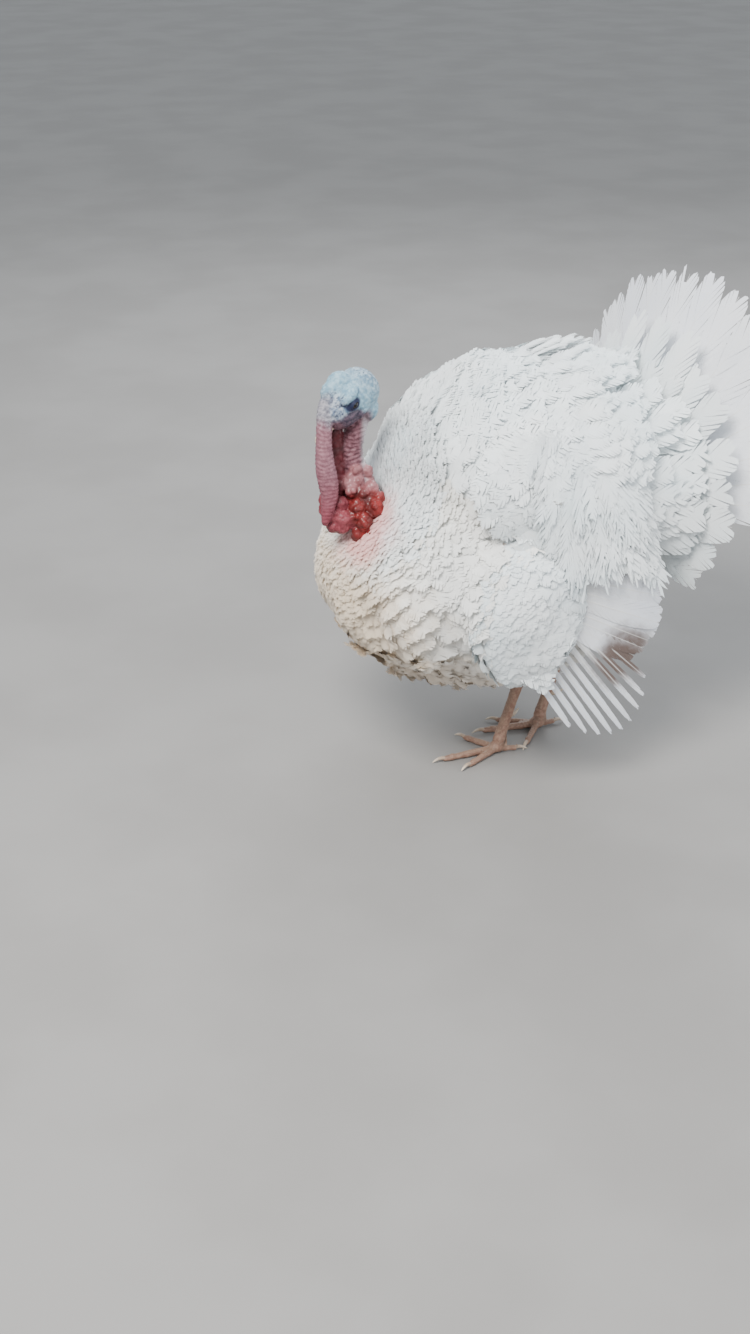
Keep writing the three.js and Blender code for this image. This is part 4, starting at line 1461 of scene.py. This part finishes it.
# how far apart the skin's pebbles stand on each bare part, and how high
grain = dict(
    head=(0.0050, 0.0008), neck=(0.0070, 0.0012), snood=(0.0075, 0.0006), dewlap=(0.0075, 0.0013),
    caruncles=(0.0085, 0.0017),
)


def makeHeadSkin():
    forms = headForms()
    sockets = bmesh.new()
    x, y, z = head["eye"]
    for side in (-1, 1):
        ballForm(sockets, (x, side * y, z), (9.9, 9.7, 9.7), headTurn, 32)
    whole = joinedMesh(*forms.values(), finished(sockets))
    mesh = modified(whole, "REMESH", mode="VOXEL", voxel_size=bareSkin["voxel"])
    edges, corners = edgesOf(mesh), trianglesOf(mesh)
    points = smoothed(pointsOf(mesh), edges, bareSkin["smoothing"])
    movePoints(mesh, points)
    facing = normalsOf(mesh)
    # how much each place belongs to each bare part
    share = {name: np.exp(-gapTo(treeOf(form), points, 0.009) / 0.0014) for name, form in forms.items()}
    total = sum(share.values()) + 1e-9
    share = {name: value / total for name, value in share.items()}
    local = inHead(points)
    eyeAway = np.sqrt(
        (local[:, 0] - x) ** 2 + ((np.abs(local[:, 1]) - y) * 0.6) ** 2 + (local[:, 2] - z) ** 2
    )
    fine = ease(eyeAway, 9.5, 15)
    nearEye = 1 - ease(eyeAway, 14, 18)
    share = {name: value * (1 - nearEye) + nearEye * (name == "head") for name, value in share.items()}
    spacing = sum(share[name] * size for name, (size, _) in grain.items())
    rise = sum(share[name] * high * (fine if name == "head" else 1) for name, (_, high) in grain.items())
    lift = rise * (pebbles(points, corners, spacing, 17) - 0.3)
    lift += rise * 0.3 * pebbles(points, corners, spacing * 0.5, 19)
    height = (points - shift)[:, 2] * 1000
    wrinkle = waves(points - shift, 0.02, 23) * 2.5
    lift += share["snood"] * 0.00045 * np.sin(height * 2 * math.pi / 5.6 + wrinkle)
    lift += share["neck"] * 0.0008 * np.sin(height * 2 * math.pi / 6.5 + wrinkle)
    # folds that run round the eye
    lift += share["head"] * 0.0004 * np.sin(eyeAway * 2 * math.pi / 3.1) * np.exp(-((eyeAway - 15) / 6) ** 2)
    points = smoothed(points + facing * lift[:, None], edges, 1, 0.3)
    movePoints(mesh, points)
    for side in (-1, 1):
        hollow = bmesh.new()
        ballForm(hollow, (x, side * y, z), (8.75, 8.75, 8.75), headTurn, 40)
        mesh = combined(mesh, finished(hollow), "DIFFERENCE")
        mesh = combined(mesh, lidCutter(side), "DIFFERENCE")
        mesh = combined(mesh, lidRing(side, 1.03, 0.75, 9.2), "UNION")
        mesh = combined(mesh, lidRing(side, 1.38, 0.7, 9.5), "UNION")
    print("head skin:", len(mesh.vertices), "points")
    return mesh, points, share


# legs

legs = dict(left=dict(side=-1, x=3, y=-45, turn=0), right=dict(side=1, x=98, y=6, turn=-8))
leg = dict(
    shank=8.5, hock=158, hockBack=46, claw=17, voxel=0.0019,
    # along the shank: how much wider, deeper in front and deeper behind than its radius
    swell=(
        (-0.02, 1, 2, 2), (0.2, -1.2, 1, 0), (0.55, -1.6, 0.5, -0.5), (0.85, 0.3, 2.4, 2.6), (1.0, 4, 6, 6),
        (1.2, 4, 7, 7),
    ),
    # each toe: name, turn from straight ahead, length and radius
    toes=(("inner", 27, 70, 6.2), ("middle", 0, 94, 6.8), ("outer", -58, 66, 6.2), ("hind", 168, 34, 5.2)),
    # along a toe: height, share of the radius to the sides and above, and depth below
    toeShape=(
        (-0.03, 9, 1, 1, 7), (0.2, 7.2, 0.8, 0.9, 6), (0.5, 6.6, 0.72, 0.82, 5.6), (0.8, 5.6, 0.64, 0.72, 5),
        (1.0, 5.2, 0.6, 0.62, 4.6),
    ),
)


def toeWay(place, turn):
    spin = math.radians(turn)
    way = Vector((-math.cos(spin), place["side"] * math.sin(spin), 0))
    return np.array(Matrix.Rotation(math.radians(place["turn"]), 3, "Z") @ way)


def shankPoint(place, share):
    ankle = np.array([place["x"] + 3, place["y"], 20.0])
    hock = np.array([place["x"] + leg["hockBack"], place["y"], leg["hock"]])
    return ankle + (hock - ankle) * share


def legForms(name):
    place = legs[name]
    ground = np.array([place["x"], place["y"], 0.0])
    shape = bmesh.new()
    ballForm(shape, (place["x"] + 1, place["y"], 11), (12.5, 11, 10.6))
    for _, turn, length, radius in leg["toes"]:
        way = toeWay(place, turn)
        across = (-way[1], way[0], 0)
        at = lambda share, height: ground + way * (share * length) + np.array([0, 0, height])
        rings = []
        for share, height, wide, high, low in leg["toeShape"]:
            rings.append((*at(share, height), radius * wide, radius * high, low))
        roundedForm(shape, rings, 20, 24, 0.08, 0.08, across)
        for share in (0.3, 0.56, 0.82) if length > 40 else (0.45, 0.85):
            ballForm(shape, at(share, 5.2), (radius * 0.86, radius * 0.86, 4.9), None, 14)
            ballForm(shape, at(share, 7.0), (radius * 0.8, radius * 0.8, radius * 0.72), None, 14)
    stations = []
    for share, *more in leg["swell"]:
        stations.append((*shankPoint(place, share), *(leg["shank"] + extra for extra in more)))
    roundedForm(shape, stations, 28, 40, 0.05, 0.1)
    for share, size in ((0.96, 9.5), (0.03, 8.0)):
        for side in (-1, 1):
            ballForm(
                shape, shankPoint(place, share) + np.array([0, side * 3.5, 0]), (size, size * 0.9, size),
                None, 16
            )
    return finished(shape)


legTrees = {}


def makeLegSkin(name):
    mesh = modified(legForms(name), "REMESH", mode="VOXEL", voxel_size=leg["voxel"])
    edges, corners = edgesOf(mesh), trianglesOf(mesh)
    points = smoothed(pointsOf(mesh), edges, 4)
    movePoints(mesh, points)
    lift = 0.0004 * pebbles(points, corners, np.full(len(points), 0.0034), 29)
    points = points + normalsOf(mesh) * lift[:, None]
    points[:, 2] = np.maximum(points[:, 2], 0.0002)
    movePoints(mesh, points)
    legTrees[name] = treeOf(mesh)
    return mesh


# one skin over all the flesh

def makeSkin():
    bare, places, share = makeHeadSkin()
    inner = body.mesh.copy()
    movePoints(inner, body.inner)
    inner = modified(inner, "REMESH", mode="VOXEL", voxel_size=0.009)
    whole = combined(inner, bare, "UNION")
    for name in legs:
        whole = combined(whole, makeLegSkin(name), "UNION")
    points = pointsOf(whole)
    tree = pointTree(places)
    local = points - shift
    parts = {name: np.zeros(len(points)) for name in share}
    for index in np.flatnonzero((local[:, 2] > 0.36) & (local[:, 0] < -0.14)):
        _, found, gap = tree.find(points[index])
        if gap < 0.004:
            for name, values in share.items():
                parts[name][index] = values[found]
    legShare = 1 - ease(local[:, 2], 0.17, 0.19)
    setNumbers(
        whole, headPart=parts["head"], neckPart=parts["neck"], snoodPart=parts["snood"],
        redPart=parts["caruncles"], dewlapPart=parts["dewlap"], legPart=legShare,
    )
    whole.shade_smooth()
    print("skin:", len(trianglesOf(whole)), "triangles")
    return whole


# the pale and the deep tone of each bare part
skinTones = dict(
    covered=((0.66, 0.60, 0.54), (0.60, 0.52, 0.46)), blue=((0.14, 0.27, 0.36), (0.28, 0.43, 0.51)),
    whitish=((0.09, 0.13, 0.20), (0.36, 0.40, 0.45)), plum=((0.045, 0.018, 0.032), (0.17, 0.085, 0.11)),
    violet=((0.028, 0.018, 0.040), (0.13, 0.085, 0.12)), mauve=((0.10, 0.032, 0.045), (0.20, 0.085, 0.105)),
    nape=((0.40, 0.35, 0.38), (0.56, 0.52, 0.54)), rose=((0.14, 0.050, 0.070), (0.25, 0.11, 0.135)),
    # shadedMaroon: the throat flap's deep red, partly painted shade between the snood and the neck
    greyer=((0.10, 0.10, 0.125), (0.28, 0.265, 0.295)), shadedMaroon=((0.030, 0.001, 0.004), (0.10, 0.006, 0.013)),
    dusty=((0.14, 0.012, 0.022), (0.24, 0.045, 0.06)), ruddy=((0.055, 0.0005, 0.0008), (0.20, 0.003, 0.003)),
    lumpy=((0.14, 0.035, 0.040), (0.27, 0.105, 0.115)), scaly=((0.24, 0.13, 0.09), (0.36, 0.22, 0.16)),
    # creaseShade: painted shade in the crease behind the eye
    # rim: the dark ring round the eye, partly the lids' own dark blue and partly painted shade under the brow
    specks=(0.035, 0.045, 0.085), creaseShade=(0.06, 0.13, 0.22), rim=(0.002, 0.008, 0.040),
    snoodEnd=(0.20, 0.022, 0.040),
)


# marks on the head: place in its own frame, where the mark begins and has faded, and its strength
marks = dict(
    nape=((34, 0, 8), 0.018, 0.046, 0.6), face=((-42, -8, 20), 0.016, 0.034, 0.95),
    faceSpecks=((-34, -14, 20), 0.014, 0.030, 0.95), crownSpecks=((32, -8, 24), 0.010, 0.026, 0.75),
)


def skinFinish():
    finish = Finish("bareSkin", 0.5, Coat_Roughness=0.22, Specular_IOR_Level=0.28)
    coords = finish.coords()
    parts = {
        name: finish.attribute(name)
        for name in ("headPart", "neckPart", "snoodPart", "dewlapPart", "redPart", "legPart")
    }
    fine = finish.noise(coords, 420.0, 3.0)
    speck = finish.noise(coords, 170.0, 4.0, 0.65)
    broad = finish.noise(coords, 38.0, 4.0)
    dark = finish.noise(coords, 230.0, 3.0, 0.5)
    length, _, height = finish.split(coords)

    def vector(operation, first, second=None, out=0):
        inputs = {0: first} if second is None else {0: first, 1: second}
        return finish.add("ShaderNodeVectorMath", dict(operation=operation), inputs, out)

    def fromHead(place):
        # the way from a place on the head, in the head's own directions
        return finish.add(
            "ShaderNodeVectorRotate", dict(rotation_type="EULER_XYZ", invert=True),
            {"Vector": vector("SUBTRACT", coords, frameOf(place)), "Rotation": tuple(headTurn.to_euler())},
        )

    def near(place, inner, outer, amount, reach=(1, 1, 1), ragged=0.0):
        # amount close to a place on the head, nothing beyond outer; wider where reach is
        away = vector("LENGTH", vector("DIVIDE", fromHead(place), reach), out=1)
        if ragged:
            away = away + broad * ragged - ragged / 2
        return finish.mapRange(away, inner, outer, amount, 0.0)

    def tones(name, signal, low, high):
        return finish.tones(signal, low, high, *skinTones[name])

    color = tones("covered", broad, 0.3, 0.7)
    # each part's colour counts by its own share of the place
    total, layers = 0.02, {}
    for name, part in parts.items():
        total = part + total
        layers[name] = part / total
    blue, whitish = tones("blue", speck, 0.35, 0.65), tones("whitish", speck, 0.38, 0.66)
    blue = finish.mix(near(*marks["nape"]), blue, whitish)
    blue = finish.mix(near(*marks["face"]), blue, whitish)
    specks = finish.mapRange(dark, 0.55, 0.62) * near(*marks["faceSpecks"])
    specks = specks + finish.mapRange(dark, 0.58, 0.66) * near(*marks["crownSpecks"])
    blue = finish.mix(specks, blue, skinTones["specks"])
    back, _, up = finish.split(fromHead((0, 0, 0)))
    jaw = finish.mapRange(up + back * 0.45 + broad * 0.010 - 0.005, -0.021, -0.008, 1.0, 0.0)
    jaw = jaw * finish.mapRange(back + broad * 0.008 - 0.004, -0.004, 0.012, 1.0, 0.0)
    blue = finish.mix(jaw, blue, tones("plum", speck, 0.35, 0.62))
    x, y, z = head["eye"]
    for side in (-1, 1):
        cheek = near((x - 12, side * 24, z - 17), 0.011, 0.020, 0.96, (1.15, 1, 1), 0.010)
        # painted shade along the crease behind the eye, between the brow and the nape
        creaseShade = near((x + 17, side * 27, z + 11), 0.003, 0.010, 0.55, (0.35, 1, 1.2))
        # the ring round the eye: the lids' dark blue, deepened with painted shade under the brow
        rim = near((x - 3.5, side * 29, z + 2), 0.0062, 0.0100, 1.0, (1.75, 1.2, 0.9), 0.005)
        blue = finish.mix(cheek, blue, tones("violet", speck, 0.38, 0.66))
        blue = finish.mix(creaseShade, blue, skinTones["creaseShade"])
        blue = finish.mix(rim, blue, skinTones["rim"])
    color = finish.mix(layers["headPart"], color, blue)
    nape = finish.mapRange(length, float(shift[0]) - 0.220, float(shift[0]) - 0.207, 0.0, 0.75)
    mauve = finish.mix(nape, tones("mauve", speck, 0.35, 0.65), tones("nape", broad, 0.3, 0.7))
    color = finish.mix(layers["neckPart"], color, mauve)
    # the snood greys towards its root and reddens towards its end
    root = finish.mapRange(height + broad * 0.03 - 0.015 + speck * 0.02 - 0.01, 0.574, 0.600)
    rose = finish.mix(root, tones("rose", speck, 0.3, 0.7), tones("greyer", speck, 0.36, 0.62))
    end = finish.mapRange(height + broad * 0.04 - 0.02, 0.440, 0.530, 0.75, 0.0)
    rose = finish.mix(end, rose, skinTones["snoodEnd"])
    color = finish.mix(layers["snoodPart"], color, rose)
    # the throat flap is dark maroon above, partly its own colour and partly painted shade between the snood and the
    # neck, and dusty red lower down
    low = finish.mapRange(height, 0.455, 0.485, 1.0, 0.0)
    shadedMaroon = finish.mix(low, tones("shadedMaroon", broad, 0.3, 0.7), tones("dusty", speck, 0.3, 0.7))
    color = finish.mix(layers["dewlapPart"], color, shadedMaroon)
    top = finish.mapRange(height + broad * 0.03 - 0.015, 0.468, 0.490)
    ruddy = finish.mix(top, tones("ruddy", broad, 0.3, 0.7), tones("lumpy", broad, 0.35, 0.65))
    color = finish.mix(layers["redPart"], color, ruddy)
    color = finish.mix(layers["legPart"], color, tones("scaly", speck, 0.35, 0.65))
    color = finish.lit(color, fine * 0.2 + 0.9)
    wet = (parts["redPart"] + parts["dewlapPart"]) * 0.15
    return finish.set(
        Base_Color=color, Roughness=0.52 - wet + broad * 0.1, Coat_Weight=parts["redPart"] * 0.22,
        Normal=finish.bump(fine * 0.6 + speck * 0.4, 0.35, 0.0004),
    )


fit(
    putIn("skin", makeSkin(), skinFinish()), "body_feather",
    *coreNodes, "head", "neck", "snood", "dewlap", "caruncles", "shank_left", "shank_right", "foot_left",
    "foot_right",
)


# eyes, bill, claws and spurs

def eyeFinish():
    finish = Finish("eye", 0.10, Coat_Weight=0.2, Coat_Roughness=0.03, IOR=1.36)
    away = finish.attribute("away")
    grain = finish.noise(finish.coords(), 900.0, 3.0)
    iris = finish.tones(grain, 0.35, 0.65, (0.010, 0.006, 0.005), (0.030, 0.015, 0.010))
    color = finish.tones(away + grain * 0.3, 2.75, 3.05, (0.002, 0.002, 0.003), iris)
    color = finish.tones(away, 5.0, 5.9, color, (0.03, 0.022, 0.024))
    return finish.set(Base_Color=color)


def makeEye(name, side):
    form, ball = ballShape(48, 36)
    # the pole turns outwards; the cornea stands a little proud of the ball
    ball = np.stack([ball[:, 0], side * ball[:, 2], ball[:, 1]], 1)
    radius = head["eyeRadius"]
    flat = np.hypot(ball[:, 0], ball[:, 2]) * radius
    proud = np.where(ball[:, 1] * side > 0, 0.7 * (1 - ease(flat, 0, 5.4)), 0)
    x, y, z = head["eye"]
    shape = bmesh.new()
    addForm(shape, form, ball * (radius + proud)[:, None] + np.array([x, side * y, z]), headTurn)
    outer = np.where(ball[:, 1] * side > 0, flat, 9)
    mesh = finished(shape)
    setNumbers(mesh, away=outer)
    mesh.shade_smooth()
    fit(putIn("eye_ball_" + name, mesh, eyeFinish()), "eye", "eye_" + name)


def hornFinish(name, base, tip, reach):
    finish = Finish(name, 0.34, Coat_Weight=0.25, Coat_Roughness=0.2)
    coords = finish.coords()
    grain, streak = finish.noise(coords, 240.0, 4.0), finish.noise(coords, 90.0, 3.0)
    color = finish.tones(finish.attribute("toTip") + streak * 0.3 - 0.15, 0.2, 0.9, base, tip)
    color = finish.mix(finish.mapRange(grain, 0.4, 0.7, 0.0, 0.35), color, tuple(0.6 * c for c in base))
    return finish.set(Base_Color=color, Roughness=0.30 + grain * 0.2, Normal=finish.bump(grain, 0.3, reach))


def hornMesh(stations, sides, rings, across=(0, 1, 0), turn=None, caps=(0.08, 0.08), ridges=0.0):
    shape = bmesh.new()
    roundedForm(shape, stations, sides, rings, caps[0], caps[1], across, turn)
    mesh = finished(shape)
    points = pointsOf(mesh)
    first, last = np.array(stations[0][:3], float), np.array(stations[-1][:3], float)
    if turn is not None:
        first, last = np.array(turn @ Vector(first)), np.array(turn @ Vector(last))
    way = last - first
    share = ((points - shift) * 1000 - first) @ way / (way @ way)
    if ridges:
        movePoints(
            mesh, points + normalsOf(mesh) * (ridges * np.sin(share * 40 + waves(points, 0.004, 3)))[:, None]
        )
    setNumbers(mesh, toTip=np.clip(share, 0, 1))
    mesh.shade_smooth()
    return mesh


def makeBill():
    root, length = head["billRoot"], head["billLength"]
    horn = hornFinish("billHorn", (0.46, 0.33, 0.25), (0.60, 0.50, 0.38), 0.0003)
    upper = hornMesh([
        (root + 3, 0, 0, 10, 10, 2.4), (root - 0.2 * length, 0, -0.6, 9.2, 9.2, 2.4),
        (root - 0.45 * length, 0, -1.6, 7.8, 7.4, 2.2), (root - 0.7 * length, 0, -4.0, 6.0, 5.6, 2.2),
        (root - 0.9 * length, 0, -7.6, 4.2, 3.8, 2.4), (root - 1.03 * length, 0, -12.5, 1.8, 1.8, 1.6),
    ], 28, 36, turn=headTurn, caps=(0.05, 0.06))
    nostrils = bmesh.new()
    for side in (-1, 1):
        ballForm(nostrils, (root - 9, side * 8.2, 2.8), (4.2, 2.2, 1.5), headTurn, 20)
    upper = combined(upper, finished(nostrils), "DIFFERENCE")
    upper.shade_smooth()
    fit(putIn("bill_upper_half", upper, horn), "bill_horn", "bill_upper")
    lower = hornMesh([
        (root + 3, 0, -8.6, 8.4, 4, 4.6), (root - 0.3 * length, 0, -9.0, 7.2, 3.6, 4.2),
        (root - 0.6 * length, 0, -9.6, 5.4, 2.8, 3.6), (root - 0.86 * length, 0, -10.8, 3.0, 1.7, 2.4),
    ], 24, 24, turn=headTurn, caps=(0.05, 0.1))
    fit(putIn("bill_lower_half", lower, horn), "bill_horn", "bill_lower")


def makeClaws(name):
    place = legs[name]
    horn = hornFinish("clawHorn" + name.title(), (0.40, 0.29, 0.21), (0.62, 0.52, 0.40), 0.0002)
    for kind, turn, length, radius in leg["toes"]:
        way = toeWay(place, turn)
        across = (-way[1], way[0], 0)
        ground = np.array([place["x"], place["y"], 0.0])
        at = lambda distance, height: ground + way * distance + np.array([0, 0, height])
        claw = leg["claw"]
        mesh = hornMesh([
            (*at(length - 5, 6.4), 2.9, 2.9, 2.9), (*at(length + 0.1 * claw, 7.4), 3.0, 2.9, 3.0),
            (*at(length + 0.42 * claw, 7.2), 2.5, 2.3, 2.5), (*at(length + 0.75 * claw, 5.0), 1.7, 1.5, 1.6),
            (*at(length + 1.0 * claw, 2.2), 0.6, 0.5, 0.5),
        ], 14, 16, across, caps=(0.08, 0.06))
        fit(putIn("claw_horn_%s_%s" % (kind, name), mesh, horn), "claw_horn", "claw_%s_%s" % (kind, name))
    side = place["side"]
    root = shankPoint(place, 0.32)
    mesh = hornMesh([
        (*root, 5.4, 5.4, 5.4), (*(root + [9, -side * 3.5, -1.5]), 4.6, 4.6, 4.6),
        (*(root + [17, -side * 6.5, 0]), 3.0, 3.0, 3.0), (*(root + [24, -side * 8, 5]), 0.9, 0.9, 0.9),
    ], 18, 18, ridges=0.00012)
    fit(putIn("spur_horn_" + name, mesh, horn), "claw_horn", "spur_" + name)


scute = dict(
    along=5, across=6, rise=0.00075, wrap=62, overlap=1.45, shank=17, spacing=6.2, shankWrap=34, column=27,
    height=150,
)


def scaleFinish():
    finish = Finish("legScale", 0.42, Coat_Weight=0.15, Coat_Roughness=0.3, Specular_IOR_Level=0.35)
    coords = finish.coords()
    grain, broad = finish.noise(coords, 320.0, 4.0), finish.noise(coords, 45.0, 3.0)
    color = finish.tones(broad, 0.3, 0.7, (0.28, 0.17, 0.115), (0.21, 0.12, 0.083))
    color = finish.mix(
        finish.mapRange(finish.attribute("edge"), 0.5, 1.0, 0.0, 0.65), color, (0.15, 0.08, 0.055)
    )
    color = finish.mix(finish.mapRange(grain, 0.45, 0.75, 0.0, 0.4), color, (0.46, 0.33, 0.25))
    return finish.set(Base_Color=color, Roughness=0.38 + grain * 0.2, Normal=finish.bump(grain, 0.3, 0.0002))


def makeScutes(name, finish):
    # overlapping plates down the front of the shank and along the toes, each raised towards its free end
    place = legs[name]
    ground = np.array([place["x"], place["y"], 0.0])
    rows = []
    down = unit(shankPoint(place, 0) - shankPoint(place, 1))
    size = 0.82 * scute["height"] / scute["shank"]
    for column in (-1, 1):
        for k in range(scute["shank"]):
            share = 0.98 - (k + 0.5 * (column > 0)) * 0.90 / scute["shank"]
            front, tilt = np.array([-1.0, 0, 0]), column * scute["column"]
            rows.append((shankPoint(place, share), down, front, tilt, scute["shankWrap"], size))
    for _, turn, length, radius in leg["toes"]:
        way = toeWay(place, turn)
        count = int(length / scute["spacing"])
        for k in range(count):
            at = ground + way * (0.12 + 0.84 * (k + 0.5) / count) * length + [0, 0, 5.5]
            rows.append((at, way, np.array([0, 0, 1.0]), 0, scute["wrap"], length * 0.9 / count))
    width, deep = scute["across"] + 1, scute["along"] + 1
    v, u = np.repeat(np.linspace(0, 1, deep), width), np.tile(np.linspace(-1, 1, width), deep)
    # the free end is rounded, and every border dips into the skin
    dome = (1 - u ** 4) * np.where(v < 0.85, 0.25 + 0.75 * v / 0.85, 1 - ((v - 0.85) / 0.15) ** 2)
    high = scute["rise"] * (dome * 1.35 - 0.35)
    points, homes, tree = [], [], legTrees[name]
    for centre, way, front, tilt, wrap, size in rows:
        front = laidFlat(front, way)
        sideways = np.cross(way, front)
        turn = np.radians(tilt + u * wrap)
        out = front * np.cos(turn)[:, None] + sideways * np.sin(turn)[:, None]
        at = centre + way * ((v - 0.5 - 0.22 * u ** 2 * v) * size * scute["overlap"])[:, None]
        start = (at + out * 30) / 1000 + shift
        for origin, inward, lift in zip(start, -out, high):
            hit = tree.ray_cast(Vector(origin), Vector(inward), 0.03)[0]
            found = np.array(hit) if hit is not None else origin + inward * 0.024
            points.append(found - inward * lift)
        homes.append(boxUnwrap(np.array(points[-1:]), out[:1])[0])
    starts = [row * width + column for row in range(scute["along"]) for column in range(width - 1)]
    faces = np.array([(a, a + 1, a + width + 1, a + width) for a in starts])
    faces = repeated(faces, len(u), len(rows))
    mesh = meshFrom("leg_scutes_" + name, np.array(points), faces)
    setNumbers(mesh, edge=np.tile(np.maximum(np.abs(u) ** 3, v ** 5), len(rows)))
    patch = np.array(homes)[:, None] + np.stack([u / 2, v - 0.5], -1) * 0.003
    setMap(mesh, "OFBake", patch.reshape(-1, 2), faces.ravel())
    fit(putIn("leg_scutes_" + name, mesh, finish), "leg_scale")
    print("leg scutes", name, len(rows))


scaly = scaleFinish()
for name, side in (("left", -1), ("right", 1)):
    makeEye(name, side)
    makeClaws(name)
    makeScutes(name, scaly)
makeBill()
print("eyes, bill, claws and spurs ready")


# the floor

def makeFloor():
    shape = bmesh.new()
    bmesh.ops.create_grid(shape, x_segments=8, y_segments=8, size=30.0)
    finish = Finish("paleFloor", 0.8)
    grain = finish.noise(finish.coords(), 3.0, 4.0)
    color = finish.tones(grain, 0.35, 0.65, (0.235, 0.225, 0.215), (0.26, 0.25, 0.24))
    putIn("floor", meshOf(shape, "floor"), finish.set(Base_Color=color))


makeFloor()
